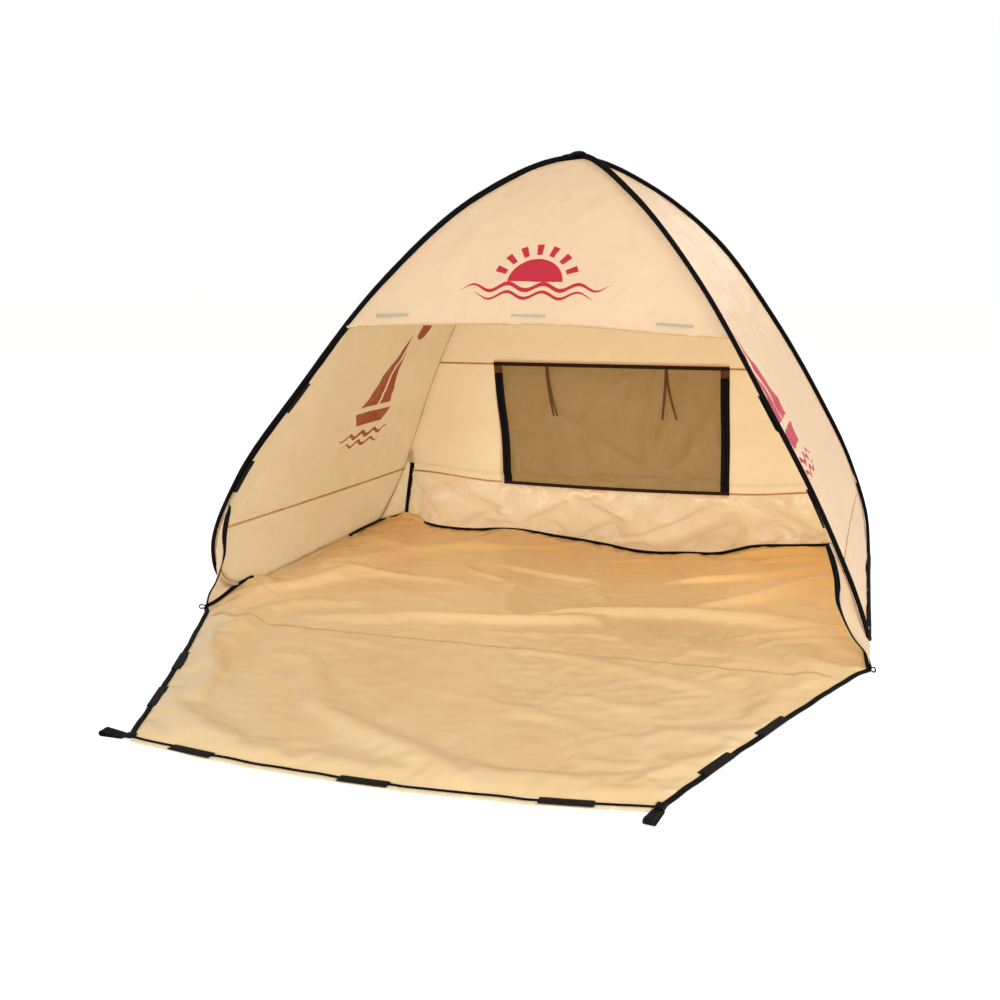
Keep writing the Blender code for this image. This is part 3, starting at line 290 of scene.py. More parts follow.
class Nodes:
    """Short helpers to fill the node tree of a material or world."""

    def __init__(self, owner):
        owner.use_nodes = True
        self.owner, self.tree = owner, owner.node_tree
        self.tree.nodes.clear()

    def node(self, kind, values=(), output=0, **props):
        node = self.tree.nodes.new(kind)
        for key, value in props.items():
            setattr(node, key, value)
        for key, value in dict(values).items():
            socket = node.inputs[key]
            if isinstance(value, Value):
                self.tree.links.new(value.socket, socket)
            else:
                socket.default_value = (*value, 1) if socket.type == "RGBA" else value
        return Value(self, node.outputs[output]) if node.outputs else None

    def math(self, op, a, b=0.0):
        return self.node("ShaderNodeMath", {0: a, 1: b}, operation=op)

    def mix(self, factor, a, b, blend="MIX"):
        values = {0: factor, 6: a, 7: b}
        return self.node("ShaderNodeMix", values, output=2, data_type="RGBA", blend_type=blend)

    def ramp(self, value, low, high):
        return self.node("ShaderNodeMapRange", {0: value, 1: low, 2: high, 3: 0.0, 4: 1.0},
                         interpolation_type="SMOOTHSTEP")

    def noise(self, vector, scale, detail=2.0, rough=0.5):
        values = {"Vector": vector, "Scale": scale, "Detail": detail, "Roughness": rough}
        return self.node("ShaderNodeTexNoise", values)

    def cells(self, vector, scale, feature):
        return self.node("ShaderNodeTexVoronoi", {"Vector": vector, "Scale": scale}, feature=feature)

    def uv(self, name="flat"):
        return self.node("ShaderNodeUVMap", uv_map=name)

    def place(self):
        return self.node("ShaderNodeTexCoord", output="Object")

    def part(self, vector, axis):
        return self.node("ShaderNodeSeparateXYZ", {0: vector}, output=axis)

    def waves(self, uv, turn):
        """Sine waves across and along the cloth."""
        return [self.math("SINE", self.part(uv, axis) * turn) for axis in (0, 1)]

    def weave(self, uv, pitch):
        a, b = self.waves(uv, 2 * math.pi / pitch)
        return a * b

    def bump(self, height, strength, distance, normal=None):
        values = {"Height": height, "Strength": strength, "Distance": distance}
        if normal is not None:
            values["Normal"] = normal
        return self.node("ShaderNodeBump", values)

    def principled(self, colour, rough, normal=None, sheen=0.0, specular=0.5, metallic=0.0):
        values = {"Base Color": colour, "Roughness": rough, "Sheen Weight": sheen,
                  "Specular IOR Level": specular, "Metallic": metallic}
        if normal is not None:
            values["Normal"] = normal
        return self.node("ShaderNodeBsdfPrincipled", values)

    def blend(self, factor, a, b):
        return self.node("ShaderNodeMixShader", {0: factor, 1: a, 2: b})

    def finish(self, shader, kind="Material"):
        self.node(f"ShaderNodeOutput{kind}", {0: shader})
        return self.owner


def new_material(name):
    return Nodes(bpy.data.materials.new(name))


def crinkle(n, place, fine):
    """Small creases that cloth keeps from its folded bag."""
    warp = n.node("ShaderNodeTexNoise", {"Vector": place, "Scale": 5.0, "Detail": 2.0}, output=1)
    warp = n.node("ShaderNodeVectorMath", {0: warp, 1: (0.12,) * 3}, operation="MULTIPLY")
    bent = n.node("ShaderNodeVectorMath", {0: place, 1: warp})
    line, thin = [1.0 - n.ramp(n.cells(bent, scale * fine, "DISTANCE_TO_EDGE"), 0.0, wide)
                  for scale, wide in ((7.0, 0.22), (21.0, 0.25))]
    return n.math("POWER", line, 2.0) + n.math("POWER", thin, 2.0) * 0.15


def cloth_material(name, colour, deep, rough, through, crease=0.35, fine=1.0, motif=None, sheen=0.15,
                   painted_front_shade=None, detail=3.0, threads=0.12, patchy=0.16):
    """Coated taffeta: colour drift, a fine weave, creases, a satin surface and light coming through; where
    asked, painted shade towards the door and the back.
    """
    n = new_material(name)
    place = n.place()
    tone = n.noise(place, 2.3, 3.0) * 0.7 + n.noise(place, 19.0, 4.0) * 0.3
    base = n.mix(n.ramp(tone, 0.3, 0.72), deep, colour)
    if painted_front_shade:
        # Painted shade: the colour darkens towards the door, and turns warmer and darker towards the back of
        # the floor.
        depth = n.part(place, 1)
        base = n.mix(n.ramp(depth, 0.10, -1.10), base, (painted_front_shade, painted_front_shade * 0.98, painted_front_shade * 0.95), "MULTIPLY")
        base = n.mix(n.ramp(depth, -0.25, 0.55), base, WARM_SHADE, "MULTIPLY")
    if motif:
        draw, ink_inside = motif
        back = n.node("ShaderNodeNewGeometry", output="Backfacing")
        base = n.mix(draw(n, n.uv("print")), base, n.mix(back, INK, ink_inside))
    normal = n.bump(n.noise(place, 6.5, detail, 0.55), 0.40, 0.018)
    if crease:
        normal = n.bump(crinkle(n, place, fine), crease, 0.0030, normal)
    normal = n.bump(n.weave(n.uv(), 0.0011), threads, 0.0003, normal)
    if patchy:
        rough = (n.noise(place, 34.0, 4.0) - 0.5) * patchy + rough
    front = n.principled(base, rough, normal, sheen=sheen, specular=0.45)
    glow = n.mix(1.0, base, (1.0, 0.86, 0.63), "MULTIPLY")
    light = n.node("ShaderNodeBsdfTranslucent", {"Color": glow, "Normal": normal})
    return n.finish(n.blend(through, front, light))


def tape_material(name, colour, pitch=0.0016, rough=0.62, stitched=0.0, thread=None):
    """Woven tape or webbing, with rows of stitches where asked."""
    n = new_material(name)
    place, uv = n.place(), n.uv()
    weave = n.weave(uv, pitch)
    dark = tuple(0.55 * c for c in colour)
    light = tuple(min(1.0, 1.5 * c + 0.001) for c in colour)
    base = n.mix(n.ramp(weave, -1.0, 1.0), dark, colour)
    base = n.mix(n.ramp(n.noise(place, 24.0, 4.0), 0.52, 0.75) * 0.35, base, light)
    height = weave * 0.5 + n.noise(place, 900.0) * 0.35
    if stitched:
        row = 1.0 - n.ramp(abs(abs(n.part(uv, 0)) - stitched), 0.0002, 0.0007)
        stitch = row * n.ramp(n.math("SINE", n.part(uv, 1) * (2 * math.pi / 0.0042)), -0.5, 0.0)
        base = n.mix(stitch, base, thread)
        height = height + stitch * 1.4
    normal = n.bump(height, 0.45, 0.0005, n.bump(n.noise(place, 60.0), 0.25, 0.002))
    sheen, specular = (0.0, 0.06) if max(colour) < 0.05 else (0.15, 0.35)
    return n.finish(n.principled(base, rough, normal, sheen, specular))


def hook_material(name, colour):
    n = new_material(name)
    dots = n.cells(n.place(), 900.0, "F1")
    base = n.mix(n.ramp(dots, 0.1, 0.6), tuple(0.72 * c for c in colour), colour)
    return n.finish(n.principled(base, 0.75, n.bump(dots, 0.6, 0.0006), specular=0.15))


def mesh_material(name, colour):
    """Insect mesh: fine threads with real holes between them."""
    n = new_material(name)
    a, b = [n.ramp(abs(wave), 0.25, 0.5) for wave in n.waves(n.uv(), math.pi / 0.0016)]
    hole = a * b
    front = n.principled(colour, 0.6, n.bump(1.0 - hole, 0.5, 0.0003), sheen=0.1, specular=0.3)
    return n.finish(n.blend(hole * 0.80, front, n.node("ShaderNodeBsdfTransparent")))


# Generic prints: a half sun over waves, and a small sailing boat
def inside(n, *edges):
    """1 where every edge value is above 0."""
    out = n.ramp(edges[0], -0.0006, 0.0006)
    for edge in edges[1:]:
        out = out * n.ramp(edge, -0.0006, 0.0006)
    return out


def either(n, *masks):
    out = masks[0]
    for mask in masks[1:]:
        out = n.math("MAXIMUM", out, mask)
    return out


def wave_band(n, x, y, level, thick, half, swell=0.010, length=0.095):
    """A wavy stripe, tapered towards its two ends."""
    off = abs(y - level - n.math("SINE", x * (2 * math.pi / length)) * swell)
    taper = 1.0 - n.math("POWER", n.math("DIVIDE", abs(x), half), 3.0)
    return inside(n, taper * (thick / 2) - off)


def radius_of(n, x, y):
    return n.math("SQRT", x * x + y * y)


def sun_print(n, uv):
    x, y = n.part(uv, 0), n.part(uv, 1)
    radius = radius_of(n, x, y)
    disc = inside(n, 0.074 - radius, y - 0.004)
    ray = n.math("COSINE", n.math("ARCTAN2", y, x) * 16.0)
    rays = inside(n, ray - 0.25, radius - 0.086, 0.118 - radius, y - 0.010)
    return either(n, disc, rays, wave_band(n, x, y, -0.012, 0.013, 0.205),
                  wave_band(n, x, y, -0.036, 0.010, 0.165))


def polygon(n, x, y, corners):
    """Inside of a convex outline, its corners listed anticlockwise."""
    edges = []
    for (x0, y0), (x1, y1) in zip(corners, corners[1:] + corners[:1]):
        length = math.hypot(x1 - x0, y1 - y0)
        a, b = (y0 - y1) / length, (x1 - x0) / length
        edges.append(x * a + y * b - (a * x0 + b * y0))
    return inside(n, *edges)


def boat_print(n, uv):
    x, y = n.part(uv, 0), n.part(uv, 1)
    main = polygon(n, x, y, [(0.006, -0.060), (0.105, -0.060), (0.006, 0.150)])
    jib = polygon(n, x, y, [(-0.078, -0.060), (-0.008, -0.060), (-0.008, 0.105)])
    hull = polygon(n, x, y, [(-0.075, -0.118), (0.080, -0.118), (0.118, -0.078), (-0.105, -0.078)])
    sun = inside(n, 0.034 - radius_of(n, x - -0.070, y - 0.165))
    return either(n, main, jib, hull, sun, wave_band(n, x, y, -0.150, 0.013, 0.150, 0.007, 0.075),
                  wave_band(n, x, y, -0.178, 0.010, 0.115, 0.007, 0.075))


SAND, SAND_DEEP = (0.84, 0.715, 0.53), (0.82, 0.685, 0.495)
FLOOR, FLOOR_DEEP = (0.87, 0.650, 0.355), (0.825, 0.575, 0.29)
# Painted shade: a warm darkening for the back of the floor.
WARM_SHADE = (0.90, 0.77, 0.54)
INK = (0.53, 0.022, 0.055)
SUN_INSIDE, BOAT_INSIDE = (0.30, 0.075, 0.028), (0.34, 0.065, 0.022)
M = {
    "wall": cloth_material("wall_cloth", SAND, SAND_DEEP, 0.46, 0.50, motif=(boat_print, BOAT_INSIDE)),
    "header": cloth_material("header_cloth", SAND, SAND_DEEP, 0.46, 0.50, motif=(sun_print, SUN_INSIDE)),
    "plain": cloth_material("plain_cloth", SAND, SAND_DEEP, 0.46, 0.50),
    "skirt": cloth_material("skirt_cloth", SAND, SAND_DEEP, 0.30, 0.42, crease=0.4, fine=1.2),
    # Window cover: a darker, more saturated sand than the walls, painted shade for the cover seen behind the
    # net.
    "flap": cloth_material("flap_cloth", (0.85, 0.65, 0.38), (0.81, 0.58, 0.32), 0.46, 0.24, crease=0.8),
    # Floor cloth, with painted shade towards the door and the back.
    "floor": cloth_material("floor_cloth", FLOOR, FLOOR_DEEP, 0.28, 0.06, crease=0, sheen=0.05, painted_front_shade=0.77,
                            detail=0.8, threads=0.03, patchy=0),
    "black": tape_material("black_tape", (0.0035, 0.0033, 0.0035)),
    "sleeve": tape_material("sleeve_cloth", (0.0040, 0.0036, 0.0038), pitch=0.0013, rough=0.8),
    "webbing": tape_material("black_webbing", (0.0045, 0.0042, 0.0044), pitch=0.0028, stitched=0.009,
                             thread=(0.05, 0.05, 0.05)),
    "tie": tape_material("tie_tape", (0.13, 0.045, 0.015)),
    "brown": tape_material("brown_tape", (0.035, 0.014, 0.007)),
    "seam": tape_material("seam_tape", (0.62, 0.33, 0.10), stitched=0.0018, thread=(0.45, 0.21, 0.06)),
    "seam_floor": tape_material("floor_seam", (0.72, 0.47, 0.21), stitched=0.0016, thread=(0.40, 0.22, 0.08)),
    "hem_floor": tape_material("floor_hem", (0.86, 0.70, 0.42), stitched=0.0050, thread=(0.55, 0.36, 0.15)),
    "seam_sand": tape_material("hem_cloth", (0.84, 0.60, 0.32), stitched=0.0034, thread=(0.62, 0.38, 0.15)),
    "hook": hook_material("hook_tape", (0.42, 0.385, 0.29)),
    "hook_black": hook_material("hook_black", (0.0045, 0.0043, 0.0045)),
    "mesh": mesh_material("window_net", (0.172, 0.096, 0.006)),
}


# Mesh builders
def link(name, data):
    thing = bpy.data.objects.new(name, data)
    bpy.context.scene.collection.objects.link(thing)
    return thing


def new_mesh(name, points, faces):
    mesh = bpy.data.meshes.new(name)
    mesh.from_pydata([tuple(p) for p in points], [], faces)
    return mesh


def square_mesh(name, half, z):
    return new_mesh(name, [(-half, -half, z), (half, -half, z), (half, half, z), (-half, half, z)],
                    [(0, 1, 2, 3)])


def add_piece(name, points, faces, mat, uvs, nodes, body):
    """A smooth mesh with its material, on its body and in place of CAD nodes."""
    mesh = new_mesh(name, points, faces)
    index = np.empty(len(mesh.loops), int)
    mesh.loops.foreach_get("vertex_index", index)
    for key, coords in uvs.items():
        mesh.uv_layers.new(name=key).data.foreach_set("uv", coords[index].ravel())
    mesh.polygons.foreach_set("use_smooth", [True] * len(mesh.polygons))
    mesh.materials.append(M[mat])
    piece = link(name, mesh)
    if body == "hinge":
        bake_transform(piece)
    else:
        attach(piece, body)
    if nodes:
        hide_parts(*nodes)
    return piece


def grid_faces(rows, columns, flip=False):
    faces = []
    for r in range(rows - 1):
        for i in range(r * columns, (r + 1) * columns - 1):
            quad = (i, i + 1, i + columns + 1, i + columns)
            faces.append(quad[::-1] if flip else quad)
    return faces


def grid_normals(grid, toward):
    normals = unit(np.cross(np.gradient(grid, axis=1), np.gradient(grid, axis=0)))
    return normals if np.sum(normals * toward) > 0 else -normals


def flat_uv(grid):
    """Distance across and down a grid, in metres, measured from its middle column and first row."""
    across, down = np.zeros(grid.shape[:2]), np.zeros(grid.shape[:2])
    across[:, 1:] = np.cumsum(np.linalg.norm(np.diff(grid, axis=1), axis=2), axis=1)
    across -= across[:, across.shape[1] // 2][:, None]
    down[1:] = np.cumsum(np.linalg.norm(np.diff(grid, axis=0), axis=2), axis=0)
    return np.stack([across, down], axis=2)


def grid_area(grid):
    a, b, c, d = grid[:-1, :-1], grid[:-1, 1:], grid[1:, 1:], grid[1:, :-1]
    return float(np.sum(np.linalg.norm(np.cross(b - a, c - a), axis=2)
                        + np.linalg.norm(np.cross(c - a, d - a), axis=2)) / 2)


def cloth(name, grid, mat, toward, nodes, print_uv=None, body="shelter"):
    """A sheet of cloth through a grid of points, facing `toward`."""
    flip = np.sum(np.cross(np.gradient(grid, axis=1), np.gradient(grid, axis=0)) * toward) < 0
    uv = flat_uv(grid)
    uvs = {"flat": uv.reshape(-1, 2)}
    if print_uv is not None:
        uvs["print"] = print_uv.reshape(-1, 2)
    faces = grid_faces(*grid.shape[:2], flip=flip)
    piece = add_piece(name, grid.reshape(-1, 3), faces, mat, uvs, nodes, body)
    area = grid_area(grid)
    width, length = [max(float(np.ptp(uv[..., axis])), 0.02) for axis in (0, 1)]
    width, length = round(min(width, area / 0.5 / length), 3), round(length, 3)


def sweep(name, line, across, profile, mat, *nodes, body="shelter", normal=None):
    """A capped body with a closed profile (offsets across and along the normal) swept along a line."""
    along = unit(np.gradient(line, axis=0))
    across = square_to(across, along)
    normal = np.cross(along, across) if normal is None else normal
    count = len(line)
    profile = np.broadcast_to(profile, (count, *profile.shape[-2:]))
    size = profile.shape[1]
    points = line[:, None] + across[:, None] * profile[..., :1] + normal[:, None] * profile[..., 1:]
    faces = []
    for a in range(0, (count - 1) * size, size):
        for i in range(size):
            j = (i + 1) % size
            faces.append((a + i, a + size + i, a + size + j, a + j))
    faces += [tuple(range(size)), tuple(reversed(range((count - 1) * size, count * size)))]
    down = np.broadcast_to(running(line)[:, None], profile.shape[:2])
    uv = np.stack([profile[..., 0], down], axis=2).reshape(-1, 2)
    return add_piece(name, points.reshape(-1, 3), faces, mat, {"flat": uv}, nodes, body)


def oval(width, height, sides=12):
    a = np.linspace(0, 2 * math.pi, sides, endpoint=False) + math.pi / sides
    return np.stack([np.cos(a) * width / 2, np.sin(a) * height / 2], axis=1)


def slab(width, height, corner=0.3):
    """A flat profile with softened corners."""
    w, h = width / 2, height / 2
    c = height * corner
    return np.array([(w, h - c), (w - c, h), (0, h), (-w + c, h), (-w, h - c), (-w, -h + c), (-w + c, -h),
                     (0, -h), (w - c, -h), (w, -h + c)])


def varied(profile, wide, high):
    """A profile for every row, with its width and height scaled row by row."""
    return profile[None] * np.stack(np.broadcast_arrays(wide, high), axis=-1)[:, None]


# Sleeves and crown around the wire
def sleeve_profile(flange):
    """A cloth tube that hugs the wire, closed by a flat seam allowance lying along the wall."""
    bends = np.linspace(2.5, 2 * math.pi - 0.75, 15)
    ring = [(0.0012 + math.cos(a) * 0.0068, math.sin(a) * 0.0068) for a in bends]
    return np.array(ring + [(0.0080, flange * 0.35), (0.0076, flange), (0.0060, flange),
                            (0.0058, flange * 0.5), (0.0040, 0.0064), (-0.0010, 0.0068)])


def build_sleeves():
    for name, side in SIDES.items():
        for piece, count, line, begin, toward in (("front_leg_sleeve", 230, FRONT[side], PATCH - 0.006, Y),
                                                  ("ground_sleeve", 90, GROUND[side], 0.0, Z),
                                                  ("rear_leg_sleeve", 230, REAR[side], PATCH - 0.006, -Y)):
            centre, along = at(line, np.linspace(begin, running(line)[-1], count))
            inward = square_to(X * -side, along)
            back = np.cross(along, inward)
            back = back * np.sign(back[count // 2] @ toward)
            ripple = 1 + 0.07 * field(centre[:, None], 0.05, 3 + side)[:, 0]
            reach = 0.0120 + 0.0035 * smoothstep(centre[:, 2], 0.15, 0.9)
            reach += 0.0012 * field(centre[:, None], 0.03, 8 + side)[:, 0]
            if piece == "ground_sleeve":
                back = np.broadcast_to(Z, back.shape)
                reach = reach * 0.8
            profile = np.stack([sleeve_profile(r) * k for r, k in zip(reach, ripple)])
            sweep(f"{piece}_{name}_cloth", centre, inward, profile, "sleeve", f"{piece}_{name}", normal=back)


def build_crown():
    """A bound patch over the crossing: two crossed padded tubes and a saddle of cloth."""
    t = np.linspace(-1, 1, 41)
    swell = 1 - 0.25 * np.abs(t) ** 3 + 0.03 * np.sin(23 * t)
    profile = varied(oval(0.0255, 0.0235, 16), swell, swell)
    for index, side, nodes in ((0, 1, ["crown_patch"]), (1, -1, [])):
        line = np.concatenate([FRONT[side][::-1], REAR[-side][1:]])
        points, _ = at(line, running(line)[len(FRONT[1]) - 1] + np.linspace(-PATCH, PATCH, 41))
        sweep(f"crown_band_{index}", points, X, profile, "black", *nodes)
    corners = [at(leg, PATCH * 0.8)[0][0] for leg in (FRONT[-1], FRONT[1], REAR[1], REAR[-1])]
    u = np.linspace(0, 1, 13)[:, None, None]
    v = np.linspace(0, 1, 13)[None, :, None]
    left, right = corners[0] * (1 - u) + corners[3] * u, corners[1] * (1 - u) + corners[2] * u
    grid = left * (1 - v) + right * v + Z * (0.012 * np.sin(np.pi * u) * np.sin(np.pi * v) - 0.010)
    cloth("crown_saddle", grid, "black", Z, ())


# Walls
def wall_grid(side, rows, columns):
    front, front_along = front_at(side, rows)
    rear, rear_along = rear_at(side, rows)

    def border(points, along, toward, lead, row):
        upper, lower = panel_edge(points, along, toward, X * -side), edge_behind(points, along, side, lead)
        t = smoothstep(rows, row - 1.5, row)[:, None]
        return upper * (1 - t) + lower * t

    start = border(front, front_along, rear - front, -OVERLAP, GUSSET_ROW)
    end = border(rear, rear_along, front - rear, OVERLAP, SEAM_ROW)
    tuck = unit(end - start) * UNDER
    start, end = start - tuck * (1 - smoothstep(rows, GUSSET_ROW - 2, GUSSET_ROW))[:, None], end + tuck
    share = np.linspace(0, 1, columns)[None, :, None]
    grid = start[:, None] * (1 - share) + end[:, None] * share
    full = np.maximum(0, np.sin(np.pi * np.clip(start[:, 2] / APEX, 0, 1)))[:, None]
    grid[..., 0] -= side * 0.012 * full * np.sin(np.pi * share[..., 0])
    return grid


def span_grid(leg_at, other_at, rows, columns):
    """A panel's grid from the left leg to the right one, with its edges under both sleeves."""
    ends = []
    for side in (-1, 1):
        points, along = leg_at(side, rows)
        edge = panel_edge(points, along, X * -side, other_at(side, rows)[0] - points)
        ends.append(edge + X * side * UNDER)
    share = np.linspace(0, 1, columns)[None, :, None]
    return ends[0][:, None] * (1 - share) + ends[1][:, None] * share


def seated(grid, outward):
    """The same sheet with its two side edges drawn out against the sleeves."""
    grid = grid.copy()
    for column, share in ((0, 1), (1, 0.4), (-2, 0.4), (-1, 1)):
        grid[:, column] += outward * SEAT * share
    return grid


def edge_fade(shape, width_rows, width_columns):
    r = np.minimum(np.arange(shape[0]), np.arange(shape[0])[::-1]) / width_rows
    c = np.minimum(np.arange(shape[1]), np.arange(shape[1])[::-1]) / width_columns
    return np.minimum(1, r)[:, None] * np.minimum(1, c)[None]


def wrinkle(grid, toward, amount, seed, lines=(), scale=(0.16, 0.07), keep=(8, 8)):
    """Moves a grid along its normals by soft waves, creases and drawn folds."""
    height = amount * (0.75 * field(grid, scale[0], seed, 2) + 0.25 * field(grid, scale[1], seed + 5, 2))
    height += 0.35 * amount * creases(grid, scale[0] * 0.9, seed + 9)
    height *= edge_fade(grid.shape, *keep)
    if lines:
        uv = flat_uv(grid)
        fade = edge_fade(grid.shape, max(2, keep[0] // 3), max(2, keep[1] // 3))
        height += folds(uv[..., 0], uv[..., 1], lines) * fade
    return grid + grid_normals(grid, toward) * height[..., None]


def puckered(grid, toward, row_share, tall, seed):
    """Short gathers that run off a sewn row, longer on one side than on the other."""
    seam = row_share * (grid.shape[0] - 1)
    rows = np.arange(grid.shape[0]) - seam
    uv = flat_uv(grid)
    reach = np.where(rows < 0, 0.055, 0.035)
    away = np.abs(uv[..., 1] - uv[int(round(seam)), :, 1][None])
    spots = np.stack([uv[..., 0] / 0.045, away / 0.25, np.sign(rows)[:, None] * 3 + 0 * away], axis=-1)
    height = field(spots, 1.0, seed) * tall * np.exp(-away / reach[:, None]) * np.minimum(1, away / 0.006)
    return grid + grid_normals(grid, toward) * (height * edge_fade(grid.shape, 3, 4))[..., None]


WALL_ROWS = 200
WALL_FOLDS = ((-0.45, 1.02, 0.40, 1.10, 0.05, 0.005), (-0.30, 1.13, 0.10, 1.20, 0.03, 0.004),
              (-0.35, 0.55, -0.10, 1.0, 0.05, 0.004), (0.30, 0.50, 0.22, 0.95, 0.04, 0.004))
HEADER_FOLDS = ((-0.22, 0.42, -0.30, 0.66, 0.035, 0.004), (0.18, 0.46, 0.34, 0.68, 0.035, 0.004),
                (-0.02, 0.20, -0.10, 0.62, 0.05, 0.003))
BOAT_PLACE, BOAT_SCALE, BOAT_TALL = {1: (-0.36, 0.69), -1: (0.12, 0.63)}, 1.3, 1.06
SUN_DOWN, SUN_SCALE = 0.60, 1.15


def build_walls():
    rows = np.linspace(0, LAST_ROW, WALL_ROWS)
    step = (WALL_ROWS - 1) / LAST_ROW
    for name, side in SIDES.items():
        grid = puckered(wall_grid(side, rows, 110), X * side, SEAM_ROW / LAST_ROW, 0.0050, 131 + side)
        flat = wrinkle(grid, X * side, 0.0075, 11 + side, WALL_FOLDS, keep=(10, 8))
        calm = np.exp(-((rows - SEAM_ROW) / 0.25) ** 2)[:, None, None]
        flat = seated(flat * (1 - calm) + grid * calm, X * side)
        print_uv = (flat[..., 1:] - BOAT_PLACE[side]) / BOAT_SCALE * (side, BOAT_TALL)
        cloth(f"wall_{name}", flat, "wall", X * side, (f"side_wall_{name}", f"side_wall_base_{name}"),
              print_uv)
        for label, lift, wide, mat in (("inside", -side, 0.0075, "seam"),
                                       ("outside", side, 0.005, "seam_sand")):
            line = flat[round(SEAM_ROW * step)] + X * lift * 0.0009
            sweep(f"wall_seam_{name}_{label}", line, Z, slab(wide, 0.0011), mat)
        for label, column, first in (("front", 1, GUSSET_ROW), ("rear", -2, 3)):
            line = flat[int(first * step) + 2:-2, column] - X * side * 0.0012
            sweep(f"corner_seam_{name}_{label}", line, Y, slab(0.0042, 0.0010), "seam")


def header_grid(rows, columns):
    grid = span_grid(front_at, rear_at, rows, columns)
    share = np.linspace(0, 1, columns)
    drop = np.interp(rows, np.arange(LAST_ROW + 1), FRONT_ROWS)[:, None] / FRONT_ROWS[HEADER_ROWS]
    grid[..., 2] += HEM_RISE * drop ** 2 * np.sin(np.pi * share)
    grid[..., 2] += 0.019 * drop ** 8 * (1 - smoothstep(share, 0.52, 0.95)) * smoothstep(share, -0.1, 0.05)
    return grid


def build_header():
    grid = puckered(header_grid(np.linspace(0, HEADER_ROWS, 90), 130), -Y, 1.0, 0.003, 141)
    flat = seated(wrinkle(grid, -Y, 0.0045, 21, HEADER_FOLDS, keep=(6, 8)), -Y)
    down = flat_uv(grid)[:, 65, 1][:, None]
    motif = np.stack([flat[..., 0], SUN_DOWN - down + 0 * flat[..., 0]], axis=2) / SUN_SCALE
    cloth("header_cloth", flat, "header", -Y, ("header_panel",),
          motif)
    sweep("header_hem", flat[-1], Z - Y, slab(0.010, 0.0016), "seam_sand")


# Back wall and window
def corner_line(side, count):
    point, along = rear_at(side, np.array([SEAM_ROW - 1.1]))
    top = edge_behind(point, along, side, PANEL + 0.0009)[0] - X * side * 0.010
    foot = np.array([side * BACK_X, BACK_Y, 0.009 + GAP])
    t = np.linspace(0, 1, count)[:, None]
    return top * (1 - t) + foot * t


def back_edge(side, heights):
    s = np.array([length_at_height(REAR[side], max(z, CORNER_Z)) for z in heights])
    points, along = at(REAR[side], s)
    high = panel_edge(points, along, X * -side, -Y) + X * side * UNDER
    line = corner_line(side, 40)[::-1]
    low = np.stack([np.interp(heights, line[:, 2], line[:, k]) for k in range(3)], axis=1) - X * side * 0.0055
    t = smoothstep(-heights, -(CORNER_Z + 0.02), -CORNER_Z)[:, None]
    return high * (1 - t) + low * t


def back_grid(heights, start, end, columns):
    """Back wall between two distances across, None meaning the wall's own edge."""
    heights = np.asarray(heights, float)
    left, right = back_edge(-1, heights), back_edge(1, heights)
    x0 = left[:, 0] if start is None else np.full(len(heights), start)
    x1 = right[:, 0] if end is None else np.full(len(heights), end)
    t = np.linspace(0, 1, columns)[None]
    x = x0[:, None] * (1 - t) + x1[:, None] * t
    share = (x - left[:, :1]) / (right[:, :1] - left[:, :1])
    grid = left[:, None] * (1 - share[..., None]) + right[:, None] * share[..., None]
    full = np.sin(np.pi * np.clip((WINDOW_TOP - heights) / WINDOW_TOP, 0, 1))[:, None]
    grid[..., 1] -= 0.045 * full * (1 - (2 * share - 1) ** 4)
    ends = smoothstep(np.abs(2 * share - 1), 0.58, 0.95)
    near = np.exp(-((heights[:, None] - WINDOW_LOW) / 0.10) ** 2)
    grid[..., 2] += near * (0.019 * ends - 0.011 * np.sin(np.pi * share) ** 2)
    return grid


def window_side(name, heights):
    if name == "right":
        return np.full(len(heights), WINDOW_RIGHT)
    return WINDOW_LEFT - 0.003 + 0.017 * np.clip((WINDOW_TOP - heights) / (WINDOW_TOP - WINDOW_LOW), 0, 1)


def back_bow(share):
    """How far the floor's back edge comes forward of the corners."""
    line = smooth_line([(a, b, 0) for a, b in BOW_SHARES], 8)
    return DEPTH * np.maximum(0, np.interp(share, line[:, 0], line[:, 1]))


SKIRT_FOLDS = (
    (-0.93, 0.01, -0.74, 0.24, 0.024, 0.022), (-0.90, 0.0, -0.45, 0.14, 0.026, 0.018),
    (-0.62, 0.24, -0.15, 0.10, 0.032, 0.018), (-0.20, 0.06, 0.10, 0.20, 0.030, 0.018),
    (0.10, 0.24, 0.45, 0.05, 0.030, 0.020), (0.38, 0.26, 0.70, 0.13, 0.030, 0.020),
    (0.52, 0.04, 0.88, 0.20, 0.026, 0.018))
FLAP_FOLDS = (
    (-0.40, 0.06, -0.38, 0.50, 0.022, 0.012), (-0.44, 0.30, -0.20, 0.48, 0.022, 0.018),
    (0.10, 0.10, 0.05, 0.36, 0.030, 0.014), (0.26, 0.12, 0.14, 0.40, 0.026, 0.016),
    (0.42, 0.10, 0.26, 0.46, 0.026, 0.020), (-0.10, 0.32, 0.20, 0.50, 0.024, 0.014))
BARE_TOP, TAPE_WIDE, FLAP_OVER = 0.034, 0.035, 0.018
TAPE_HALF = 0.017


